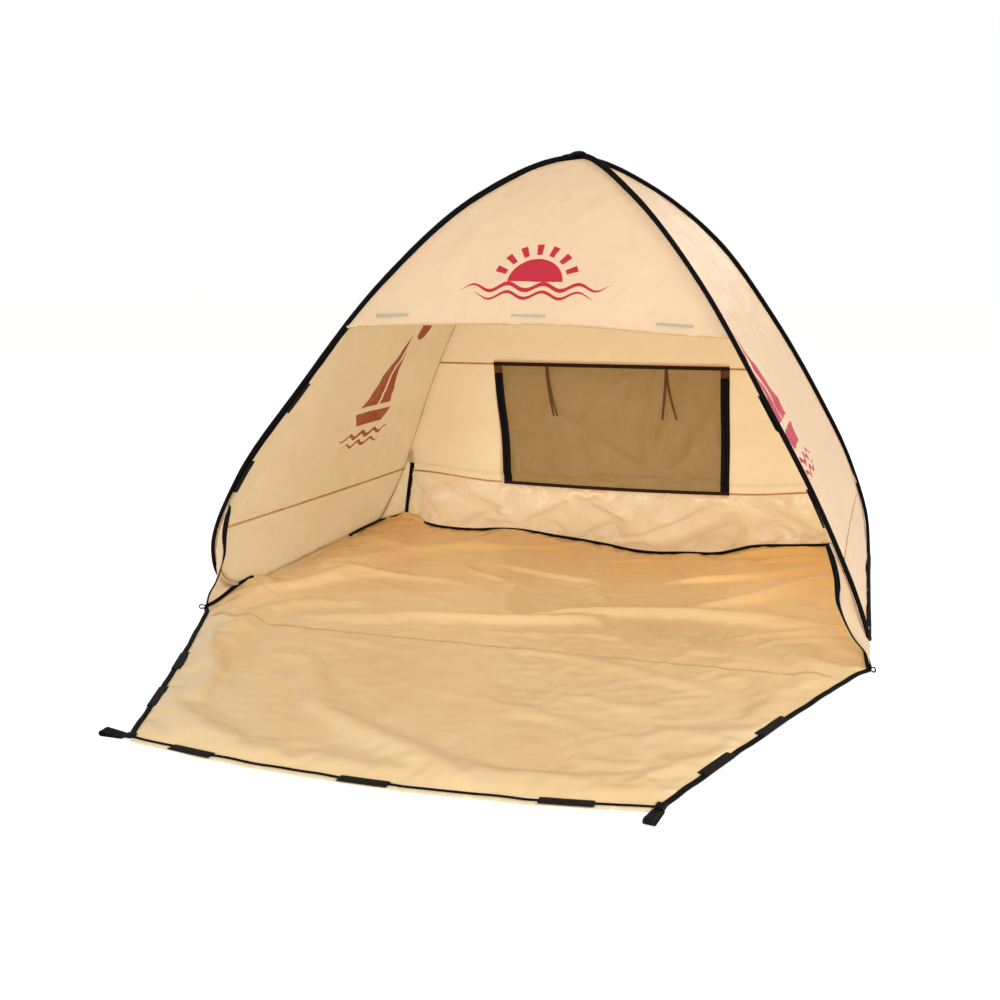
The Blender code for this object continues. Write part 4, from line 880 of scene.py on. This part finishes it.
def build_back_cloth():
    upper = span_grid(rear_at, front_at, np.linspace(0, HEADER_ROWS, 80), 120)
    cloth("back_cloth_upper", seated(wrinkle(upper, Y, 0.004, 31, keep=(6, 8)), Y), "plain", Y,
          ("back_wall_upper",))
    heights = np.linspace(WINDOW_TOP, WINDOW_LOW, 70)
    for name, a, b in (("left", None, window_side("left", heights)),
                       ("right", window_side("right", heights), None)):
        grid = wrinkle(back_grid(heights, a, b, 40), Y, 0.006, 33, scale=(0.14, 0.06), keep=(6, 6))
        cloth(f"back_cloth_{name}", grid, "plain", Y, (f"back_wall_{name}",))
    for label, z in (("upper", WINDOW_TOP), ("lower", WINDOW_LOW)):
        for name, a, b in (("left", None, WINDOW_LEFT - 0.016), ("right", WINDOW_RIGHT + 0.016, None)):
            line = back_grid([z], a, b, 40)[0] - Y * 0.0012
            sweep(f"back_seam_{label}_{name}", line, Z, slab(0.0075, 0.0011), "seam")


def build_skirt():
    """The slack band below the window, from the wall forward and down to the floor's piping."""
    parts = np.linspace(0, 1, 64)
    foot = 0.007 + 2 * GAP + PANEL / 2
    skirt = back_grid(WINDOW_LOW + (foot - WINDOW_LOW) * parts ** 0.7, None, None, 200)
    skirt[..., 1] -= back_bow(np.linspace(-1, 1, 200))[None] * parts[:, None] ** 1.6
    uv = flat_uv(skirt)
    slack = 0.012 * field(skirt * (1, 1, 1.4), 0.17, 41, 2) + 0.008 * np.sin(np.pi * parts)[:, None]
    slack += folds(uv[..., 0], uv[..., 1], SKIRT_FOLDS)
    start = skirt + grid_normals(skirt, Z) * (slack * edge_fade(skirt.shape, 10, 10))[..., None]
    grid = settle("back_skirt_cloth", start, (26, 100), 0.045, 34, gravity=0.3, bend=2.0)
    cloth("back_skirt", grid, "skirt", -Y, ("back_wall_skirt",))


def build_window():
    heights = np.linspace(WINDOW_TOP, WINDOW_LOW, 70)
    sides = {name: window_side(name, heights) for name in ("left", "right")}
    net = back_grid(heights, sides["left"], sides["right"], 60)
    cloth("window_net", net, "mesh", Y, ("window_mesh",))
    cut = round(BARE_TOP / (WINDOW_TOP - WINDOW_LOW) * (len(heights) - 1))
    for name, x in sides.items():
        line = back_grid(heights, x - TAPE_HALF, x + TAPE_HALF, 3)[:, 1] - Y * 0.0022
        sweep(f"window_side_tape_{name}", line[cut:], X, slab(TAPE_WIDE, 0.0014), "webbing",
              f"window_tape_{name}")
        sweep(f"window_tape_top_{name}", line[:cut + 1], X, slab(TAPE_WIDE, 0.0010), "tie")
    for name, z, wide in (("top", WINDOW_TOP + 0.001, 0.015), ("bottom", WINDOW_LOW + 0.001, 0.014)):
        x = float(window_side("left", np.array([z]))[0])
        line = back_grid([z], x - TAPE_HALF, WINDOW_RIGHT + TAPE_HALF, 60)[0] - Y * 0.0036
        sweep(f"window_edge_tape_{name}", line, Z, slab(wide, 0.0014), "brown")
    levels = np.linspace(WINDOW_TOP + FLAP_OVER, WINDOW_LOW - FLAP_OVER, 80)
    flap = back_grid(levels, WINDOW_LEFT - FLAP_OVER, WINDOW_RIGHT + FLAP_OVER, 90)
    uv = flat_uv(flap)
    drape = 0.022 * (0.5 + 0.5 * field(flap * (1, 1, 0.6), 0.11, 51, 2))
    drape += 0.022 * creases(flap * (1, 1, 0.7), 0.17, 52, 0.22)
    drape += folds(uv[..., 0], uv[..., 1], FLAP_FOLDS)
    flap = flap + grid_normals(flap, Y) * (0.004 + drape * edge_fade(flap.shape, 10, 4))[..., None]
    cloth("window_cover_cloth", flap, "flap", Y, ("window_flap",),
          body="window_cover")


def build_ties():
    t = np.linspace(0, 1, 30)
    z = WINDOW_TOP - 0.012 - 0.205 * t
    profile = varied(slab(1, 0.0010, 0.2), 0.0125 - 0.004 * t, 1.0)
    for name in SIDES:
        for where, sign, sway in zip(("inner", "outer"), (-1, 1), TIE_SWAYS[name]):
            x = TIE_X[name] + sway * t ** 1.5
            line = back_grid(z, x, x, 1)[:, 0] + Y * sign * 0.0018
            line[:, 2] = z
            tie = sweep(f"tie_{where}_{name}", line, X, profile, "tie", f"window_tie_{where}_{name}")


# Cloth simulation
def respan(data, count):
    """Another number of rows through the same surface, with smooth cubic spans."""
    last = data.shape[0] - 1
    place = np.linspace(0, last, count)
    i = np.clip(place.astype(int), 0, last - 1)
    t = (place - i)[:, None, None]
    a, b, c, d = data[np.maximum(i - 1, 0)], data[i], data[i + 1], data[np.minimum(i + 2, last)]
    return b + 0.5 * t * (c - a + t * (2 * a - 5 * b + 4 * c - d + t * (3 * (b - c) + d - a)))


def finer(grid, rows, columns):
    return respan(respan(grid, rows).transpose(1, 0, 2), columns).transpose(1, 0, 2)


def settle(name, fine, cells, slack, frames, gravity, bend, low=0.0018):
    """The grid after a cloth simulation, pinned at its border, with `slack` more cloth than its frame."""
    rows, columns = cells
    start = finer(fine, rows, columns)
    relief = fine - finer(start, *fine.shape[:2])
    piece = link(name, new_mesh(name, start.reshape(-1, 3), grid_faces(rows, columns)))
    border = np.ones((rows, columns), bool)
    border[1:-1, 1:-1] = False
    piece.vertex_groups.new(name="pin").add([int(i) for i in np.flatnonzero(border)], 1.0, "REPLACE")
    step = piece.modifiers.new("cloth", "CLOTH")
    settings = {"quality": 5, "mass": 0.02, "vertex_group_mass": "pin", "shrink_min": -slack,
                "tension_stiffness": 12, "compression_stiffness": 12, "shear_stiffness": 6,
                "bending_stiffness": bend, "tension_damping": 4, "compression_damping": 4,
                "shear_damping": 4, "bending_damping": 0.4, "air_damping": 3}
    for key, value in settings.items():
        setattr(step.settings, key, value)
    step.settings.effector_weights.gravity = gravity
    step.collision_settings.distance_min = 0.002
    step.collision_settings.use_self_collision = False
    step.point_cache.frame_start, step.point_cache.frame_end = 1, frames
    table = link("plate", square_mesh("plate", 3, 0))
    table.modifiers.new("collide", "COLLISION")
    table.collision.thickness_outer = 0.002
    table.collision.cloth_friction = 20
    scene = bpy.context.scene
    for frame_number in range(1, frames + 1):
        scene.frame_set(frame_number)
    shape = piece.evaluated_get(bpy.context.evaluated_depsgraph_get()).to_mesh()
    out = np.empty(rows * columns * 3)
    shape.vertices.foreach_get("co", out)
    bpy.data.objects.remove(piece)
    bpy.data.objects.remove(table)
    scene.frame_set(1)
    out = finer(out.reshape(rows, columns, 3), *fine.shape[:2]) + relief
    out[..., 2] = np.maximum(out[..., 2], low)
    return out


# Floor and door outlines
def floor_side(y):
    tuck = SLEEVE_R * math.sin(math.pi / 8) + 0.004 + 2 * GAP
    run = GROUND[1]
    straight = float(np.min(run[:, 0])) - tuck
    return np.interp(y, [FRONT_Y, run[0, 1] - 0.055, run[-1, 1], BACK_Y], [HALF, straight, straight, BACK_X])


def corner_rise(side, y):
    """The floor's lift beside the front corner, where it is sewn to the wall."""
    tall = 0.027 if side < 0 else 0.008
    return tall * smoothstep(y, FRONT_Y + 0.02, -0.47) * (1 - smoothstep(y, -0.43, -0.30))


def floor_back(share):
    return BACK_Y - back_bow(share)


def door_edge(part):
    return DOOR_NEAR + (DOOR_FAR - DOOR_NEAR) * part - DOOR_HOLLOW * np.sin(np.pi * part)


def door_point(across, part):
    reach = DOOR_LENGTH + DOOR_BOW * (1 - across * across)
    return door_edge(part) * across, FRONT_Y - reach * part


# Gussets and bindings
def gusset_line(side, count):
    point, along = front_at(side, np.array([GUSSET_ROW]))
    knots = [edge_behind(point, along, side, -0.002)[0] - X * side * 0.004]
    for across, back, up in BINDING_SHARES:
        knots.append(np.array([side * across * HALF, FRONT_Y + back * DEPTH, up * GUSSET_Z]))
    return resample(smooth_line(knots, 12), count)


def build_gussets():
    part = np.linspace(0, 1, 60)
    low = smoothstep(part, 0.60, 0.90)[:, None]
    t = np.linspace(0, 1, 26)
    for name, side in SIDES.items():
        for place, leg_at, first, edge, lead in (
                ("front", front_at, GUSSET_ROW, gusset_line(side, 60), OVERLAP),
                ("rear", rear_at, SEAM_ROW, corner_line(side, 60), -OVERLAP)):
            front = place == "front"
            point, along = leg_at(side, np.linspace(first, LAST_ROW, 60))
            near = edge_behind(point, along, side, lead) + X * side * 0.002 * (1 - low)
            grid = near[:, None] * (1 - t[:, None]) + edge[:, None] * t[:, None]
            grid[..., 0] = near[:, :1] + (edge[:, :1] - near[:, :1]) * t ** 2
            grid = wrinkle(grid, X * side, 0.005 if front else 0.003, 61 + side, scale=(0.07, 0.035),
                           keep=(5, 8))
            if front:
                bulge = smoothstep(part, 0.55, 0.9)[:, None] * np.sin(np.pi * t)
                grid[..., 0] += side * 0.011 * bulge * smoothstep(t, 0.15, 0.5)
            inward = 0.003 + 0.004 * low if front else 0.0015
            grid[..., 0] -= side * inward * (1 - smoothstep(t, 0.15, 0.45))
            down = smoothstep(part, 0.90, 1.0)[:, None] * smoothstep(t, 0.04, 0.3)
            sole = side * (floor_side(grid[..., 1]) - 0.004)
            grid[..., 0] = grid[..., 0] * (1 - down) + sole * down
            grid[..., 2] = grid[..., 2] * (1 - down) + (0.0045 + corner_rise(side, grid[..., 1])) * down
            cloth(f"{place}_gusset_{name}_cloth", grid, "plain", X * side, (f"{place}_gusset_{name}",))
            width = 0.0150 - 0.0095 * smoothstep(part, 0.42, 0.58) if front else np.full(60, 0.019)
            profile = varied(slab(1, 0.0032 if front else 0.0085, 0.35), width, 1.0)
            seat = X * side * -0.0035 if front else X * side * -0.003 - Y * 0.003
            sweep(f"{place}_binding_{name}", edge + seat, near - edge, profile, "black",
                  f"{place}_gusset_binding_{name}")


# Floor and door
FLOOR_FOLDS = (
    (0.34, -0.02, 0.89, 0.36, 0.026, 0.020), (0.44, -0.28, 0.90, 0.19, 0.030, 0.020),
    (-0.42, -0.61, 0.22, -0.42, 0.026, 0.011), (0.00, -0.45, 0.92, -0.36, 0.028, 0.012),
    (-0.24, 0.06, 0.18, -0.12, 0.026, 0.011), (-0.38, -0.03, -0.19, -0.13, 0.018, 0.009),
    (-0.80, 0.12, -0.10, 0.30, 0.040, 0.008), (-0.85, -0.12, -0.25, -0.26, 0.032, 0.008),
    (-0.95, -0.52, -0.72, -0.20, 0.030, 0.010), (0.10, 0.16, 0.60, 0.34, 0.030, 0.009),
    (0.50, 0.40, 0.86, 0.50, 0.022, 0.026), (0.60, 0.33, 0.88, 0.40, 0.018, 0.018),
    (0.70, -0.56, 0.94, -0.48, 0.020, 0.014), (0.62, -0.50, 0.90, -0.42, 0.016, 0.010))
DOOR_FOLDS = (
    (-0.90, -0.72, -0.68, -0.86, 0.024, 0.014), (-0.86, -0.80, -0.70, -1.10, 0.022, 0.010),
    (-0.78, -0.70, -0.62, -1.30, 0.028, 0.005), (-0.55, -0.85, 0.25, -0.95, 0.030, 0.006),
    (-0.10, -1.05, 0.40, -1.25, 0.028, 0.007), (0.05, -0.78, 0.66, -0.92, 0.030, 0.006),
    (-0.35, -1.20, 0.10, -1.42, 0.030, 0.006), (0.25, -1.05, 0.56, -1.05, 0.022, 0.006),
    (0.30, -1.20, 0.50, -1.45, 0.026, 0.006))
CORNER_PILE, PILE_TALL = (-0.862, 0.575), 0.034
FLOOR_PARTS, DOOR_PARTS, GROUND_COLUMNS = 118, 80, 170
SHEET_Z, HEM_IN, SEAM_ROWS_ON = 0.0030, 0.006, 8
TAB_HALF = 0.055


def sheet_height(u, v, seed, big, lines=()):
    """Relief of a laid sheet: broad swells, crossing creases and drawn folds."""
    p = np.stack([u, v, np.zeros_like(u)], axis=-1)
    swell = np.clip(field(p * (1, 1.6, 1), 0.30, seed, 2), -0.4, 1) * 0.5 + 0.25
    ridges = creases(p * (0.8, 1.35, 1), 0.21, seed + 1, 0.22) * np.clip(0.35 + field(p, 0.5, seed + 2), 0, 1)
    return big * (0.60 * swell + 0.36 * ridges) + folds(u, v, lines)


def ground_plan():
    """Plan of the floor and the door as one sheet: a grid from the back wall to the door's far edge."""
    share = np.linspace(-1, 1, GROUND_COLUMNS)[None]
    part = np.linspace(0, 1, FLOOR_PARTS)[:, None]
    y = (floor_back(share) + HEM_IN) * (1 - part) + FRONT_Y * part
    row_y = BACK_Y * (1 - part) + FRONT_Y * part
    inner = smoothstep(row_y, -0.50, -0.44)
    x = share * (floor_side(row_y) - 0.0095 + 0.018 * inner)
    z = 0.0045 + 0.010 * inner * np.abs(share) ** 30
    floor = np.stack([x, y, z], axis=2)
    part = np.linspace(0, 1, DOOR_PARTS + 1)[1:, None] * (1 - HEM_IN / DOOR_LENGTH)
    x, y = door_point(share, part)
    x = x * (1 - HEM_IN / door_edge(part))
    return np.concatenate([floor, np.stack([x, y, SHEET_Z + 0 * y], axis=2)])


def build_ground():
    """Floor and door are one sheet of cloth that runs on through the entrance."""
    plan = ground_plan()
    x, y = plan[..., 0], plan[..., 1]
    calm = 0.5 + 0.5 * smoothstep(y, FRONT_Y - 0.25, FRONT_Y + 0.10)
    relief = np.maximum(0, sheet_height(x, y, 71, 0.012, FLOOR_FOLDS + DOOR_FOLDS))
    relief += 0.003 * np.abs(field(plan * (0.8, 1.7, 1), 0.20, 77, 1))
    start = plan + Z * (relief * edge_fade(plan.shape, 7, 7) * calm)[..., None]
    grid = settle("ground_cloth", start, (100, 86), 0.008, 36, gravity=0.4, bend=1.6)
    away = np.hypot((x - CORNER_PILE[0]) / 0.075, (y - CORNER_PILE[1]) / 0.085)
    flat = plan * (1, 1, 0)
    rumple = 0.65 + 0.45 * field(flat, 0.045, 78, 2) + 0.35 * creases(flat, 0.06, 79, 0.2)
    grid[..., 2] += PILE_TALL * np.exp(-away ** 2.4) * rumple
    near_edge = smoothstep(np.abs(x) / floor_side(np.minimum(y, 0.4)), 0.86, 1.0) * (y > FRONT_Y)
    grid[..., 2] += near_edge * np.where(x < 0, corner_rise(-1, y), corner_rise(1, y))
    cloth("ground_sheet", grid, "floor", Z, ("floor_sheet", "door_sheet"), body="hinge")
    seam = grid[FLOOR_PARTS + SEAM_ROWS_ON, 3:-3] + Z * 0.0012
    sweep("ground_seam", seam, Y, slab(0.006, 0.0009), "seam_floor", body="door")


def lifted(line, scale, seed, tall, bias=0.0):
    """Small waves that lift parts of a line."""
    line[:, 2] += tall * np.clip(field(line[:, None], scale, seed)[:, 0] + bias, 0, 1)


def build_floor():
    for name, side in SIDES.items():
        for part, low, high, thick in (("front", FRONT_Y, -0.42, 0.012),
                                       ("back", 0.27, floor_back(1.0), 0.007)):
            ys = np.linspace(low, float(high), 60)
            line = np.stack([side * (floor_side(ys) - 0.006), ys, np.full(60, 0.0040)], axis=1)
            lifted(line, 0.07, 72, 0.0025)
            line[:, 0] += side * 0.0015 * field(line[:, None], 0.06, 75)[:, 0]
            line[:, 2] += corner_rise(side, ys) + (0.003 if part == "front" else 0)
            if part == "back":
                lifted(line, 0.10, 76, 0.006, 0.3)
                line[:, 2] += 0.006
            nodes = [f"floor_binding_{name}"] if part == "front" else []
            sweep(f"floor_edge_{name}_{part}", line, X, slab(0.0145, thick, 0.35), "black", *nodes)
    s = np.linspace(-0.985, 0.985, 200)
    line = np.stack([s * (BACK_X - 0.004), floor_back(s) - 0.004, np.full(200, 0.0085)], axis=1)
    lifted(line, 0.16, 73, 0.004)
    sweep("floor_back_cord", line, Y, oval(0.013, 0.0115), "black", "floor_back_piping")


TWIN_BINDING = 0.001 * np.array([(7, .6), (6, 2.2), (3.4, 2.5), (.8, 1.9), (0, .8), (-.8, 1.9), (-3.4, 2.5),
                                 (-6, 2.2), (-7, .6), (-6.4, -2), (0, -2.2), (6.4, -2)])


def build_door():
    for name, side in SIDES.items():
        part = np.linspace(0.001, 0.995, 120)
        x, y = door_point(np.full(120, float(side)), part)
        line = np.stack([x + side * 0.010 * np.exp(-(part / 0.03) ** 2), y, np.full(120, 0.0034)], axis=1)
        line[:, 0] += 0.0025 * field(line[:, None], 0.07, 83)[:, 0] * np.minimum(1, part * 8)
        lifted(line, 0.10, 84, 0.003)
        sweep(f"door_edge_{name}", line, X * side, TWIN_BINDING, "black", f"door_binding_{name}",
              body="hinge")
    x, y = door_point(np.linspace(-1, 1, 180), np.ones(180))
    line = np.stack([x, y, np.full(180, 0.0034)], axis=1)
    lifted(line, 0.11, 85, 0.004)
    line[:, 1] += 0.005 * field(line[:, None], 0.08, 86)[:, 0]
    sweep("door_edge_front", line, Y, oval(0.0068, 0.0046), "black", "door_binding_front", body="door")
    lip = line[2:-2] + np.array([0, -0.0105, -0.0014])
    sweep("door_hem_front", lip, Y, slab(0.0150, 0.0014), "hem_floor", body="door")


def tab(name, node, line, across, width, thick, body="shelter", mat="hook_black"):
    """A padded hook-and-loop tab with rounded ends."""
    ends = 1 - 0.25 * np.abs(np.linspace(-1, 1, 14)) ** 12
    sweep(name, resample(line, 14), across, varied(slab(width, thick, 0.35), 1.0, ends), mat, node, body=body)


def build_tabs():
    for name, side in SIDES.items():
        for order, share in (("near", 0.50), ("far", 0.76)):
            x, y = door_point(np.full(5, float(side)), share + np.linspace(-1, 1, 5) * TAB_HALF / DOOR_LENGTH)
            line = np.stack([x - side * 0.004, y, np.full(5, 0.0066)], axis=1)
            tab(f"door_hook_{name}_{order}", f"door_tab_{name}_{order}", line, X, 0.025, 0.0026, "door")
        for order, height in (("low", 0.43), ("high", 0.665)):
            lengths = length_at_height(FRONT[side], height) + np.linspace(-TAB_HALF, TAB_HALF, 7)
            rows = np.interp(lengths, FRONT_ROWS, np.arange(LAST_ROW + 1))
            wall = wall_grid(side, rows, 110)
            across = unit(wall[:, 2] - wall[:, 0])
            line = wall[:, 0] + across * 0.0065 - X * side * 0.0014
            tab(f"leg_hook_{name}_{order}", f"leg_tab_{name}_{order}", line, np.mean(across, axis=0), 0.024,
                0.003)
    for name, share in (("left", -0.70), ("middle", 0.0), ("right", 0.70)):
        x, y = door_point(share + np.linspace(-1, 1, 5) * TAB_HALF / DOOR_FAR, np.ones(5))
        line = np.stack([x, y - 0.007, np.full(5, 0.0062)], axis=1)
        tab(f"door_hook_front_{name}", f"door_tab_front_{name}", line, Y, 0.024, 0.0026, "door")
    hem = header_grid(np.array([HEADER_ROWS - 0.42]), 130)[0]
    for name, place, down, tall in (("left", -0.433, 0.001, 0.018), ("middle", 0.0, 0.007, 0.014),
                                    ("right", 0.433, 0.013, 0.021)):
        line, _ = at(hem, running(hem)[-1] / 2 + place + np.linspace(-0.0525, 0.0525, 5))
        tab(f"header_hook_{name}", f"header_strip_{name}", line - Y * 0.0042 - Z * down, Z - Y * 0.6, tall,
            0.0022, mat="hook")


def webbing_loop(name, node, root, turn, length, width, thick, radius, body):
    """A strap folded back on itself, with a round far end."""
    outward = np.array([math.cos(turn), math.sin(turn), 0])
    low = thick / 2 + 0.0002
    ends = low + thick + GAP
    cx, cz = length - radius - thick, low + radius
    side = [(0, low), (cx * 0.5, low)]
    bends = np.linspace(-math.pi / 2, math.pi / 2, 12)
    side += [(cx + math.cos(a) * radius, cz + math.sin(a) * radius) for a in bends]
    side += [(cx * 0.5, (low + 2 * radius + ends) / 2), (0, ends)]
    side = resample(np.array([(a, 0, b) for a, b in side]), 60)
    line = root + side[:, :1] * outward + side[:, 2:] * Z
    sweep(name, line, np.cross(Z, outward), slab(width, thick, 0.3), "webbing", node, body=body)
    return outward


def build_loops():
    for name, side in SIDES.items():
        root = np.array([*PEG_ROOTS[name], 0])
        outward = webbing_loop(f"peg_webbing_{name}", f"peg_loop_{name}", root,
                               math.radians(PEG_TURNS[name]), 0.062, 0.025, 0.0016, 0.0055,
                               f"peg_loop_{name}_body")
        patch = resample(np.array([root - outward * 0.024, root - outward * 0.001]), 8) + Z * 0.0052
        sweep(f"peg_root_{name}", patch, np.cross(Z, outward), slab(0.023, 0.0044), "webbing", body="door")
        root = np.array([side * (float(floor_side(FRONT_Y + 0.016)) - 0.004), FRONT_Y + 0.004, 0])
        webbing_loop(f"corner_webbing_{name}", f"corner_loop_{name}", root, math.radians(-90 + side * 38),
                     0.027, 0.0045, 0.0028, 0.0065, "shelter")


for build in (build_sleeves, build_crown, build_walls, build_header, build_back_cloth, build_skirt,
              build_window, build_ties, build_gussets, build_ground, build_floor, build_door, build_tabs,
              build_loops):
    build()

# The wire stays a CAD node, with a better metal
n = new_material("spring_steel")
grain = n.bump(n.noise(n.place(), 300.0), 0.1, 0.0002)
M["steel"] = n.finish(n.principled((0.55, 0.56, 0.58), 0.32, grain, metallic=1.0))
for node in ("spring_wire", "wire_ferrule"):
    for material_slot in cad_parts[node].material_slots:
        material_slot.link = "OBJECT"
        material_slot.material = M["steel"]

# Stage: pale paper that looks white to the camera and in reflections
n = new_material("stage_paper")
paper = n.principled((0.80, 0.80, 0.80), 0.95, specular=0.0)
camera_ray, glossy, through = [n.node("ShaderNodeLightPath", output=f"Is {kind} Ray")
                               for kind in ("Camera", "Glossy", "Transmission")]
seen = n.math("MAXIMUM", camera_ray, n.math("MAXIMUM", glossy, through))
glow = n.node("ShaderNodeEmission", {"Color": (1, 1, 1), "Strength": seen * 0.42})
M["paper"] = n.finish(n.node("ShaderNodeAddShader", {0: paper, 1: glow}))
mesh = square_mesh("stage_floor", 40, -0.0005)
mesh.materials.append(M["paper"])
link("stage_floor", mesh)

# Camera, matched to the photograph
camera = bpy.data.cameras.new("camera")
camera.lens, camera.sensor_width = 37.96, 36.0
camera.shift_x, camera.shift_y = -0.0741, -0.0699
eye = link("camera", camera)
eye.location = (0.949, -3.409, 1.023)
eye.rotation_euler = (math.radians(90 - 8.30), 0, math.radians(15.36))
bpy.context.scene.camera = eye

# Soft world light, white where the camera sees it
world = bpy.data.worlds.new("studio")
bpy.context.scene.world = world
n = Nodes(world)
soft = n.node("ShaderNodeBackground", {"Color": (1.0, 0.985, 0.96), "Strength": 0.74})
white = n.node("ShaderNodeBackground", {"Color": (1, 1, 1), "Strength": 1.0})
n.finish(n.blend(n.node("ShaderNodeLightPath", output="Is Camera Ray"), soft, white), "World")


def area_light(name, place, target, size, power):
    data = bpy.data.lights.new(name, "AREA")
    data.shape, data.size, data.energy = "DISK", size, power
    lamp = link(name, data)
    lamp.location = place
    lamp.rotation_euler = (Vector(target) - Vector(place)).to_track_quat("-Z", "Y").to_euler()


area_light("key", (-0.9, -5.7, 2.1), (0, 0.1, 0.6), 1.3, 143)
area_light("fill", (2.4, -5.4, 1.4), (0.0, 0.3, 0.5), 2.0, 69)
area_light("rear", (1.9, 3.4, 3.0), (0, 0, 0.4), 1.6, 57)
area_light("side", (4.3, -1.0, 3.2), (0.6, 0, 0.8), 2.2, 100)
bpy.context.scene.view_settings.view_transform = "Standard"
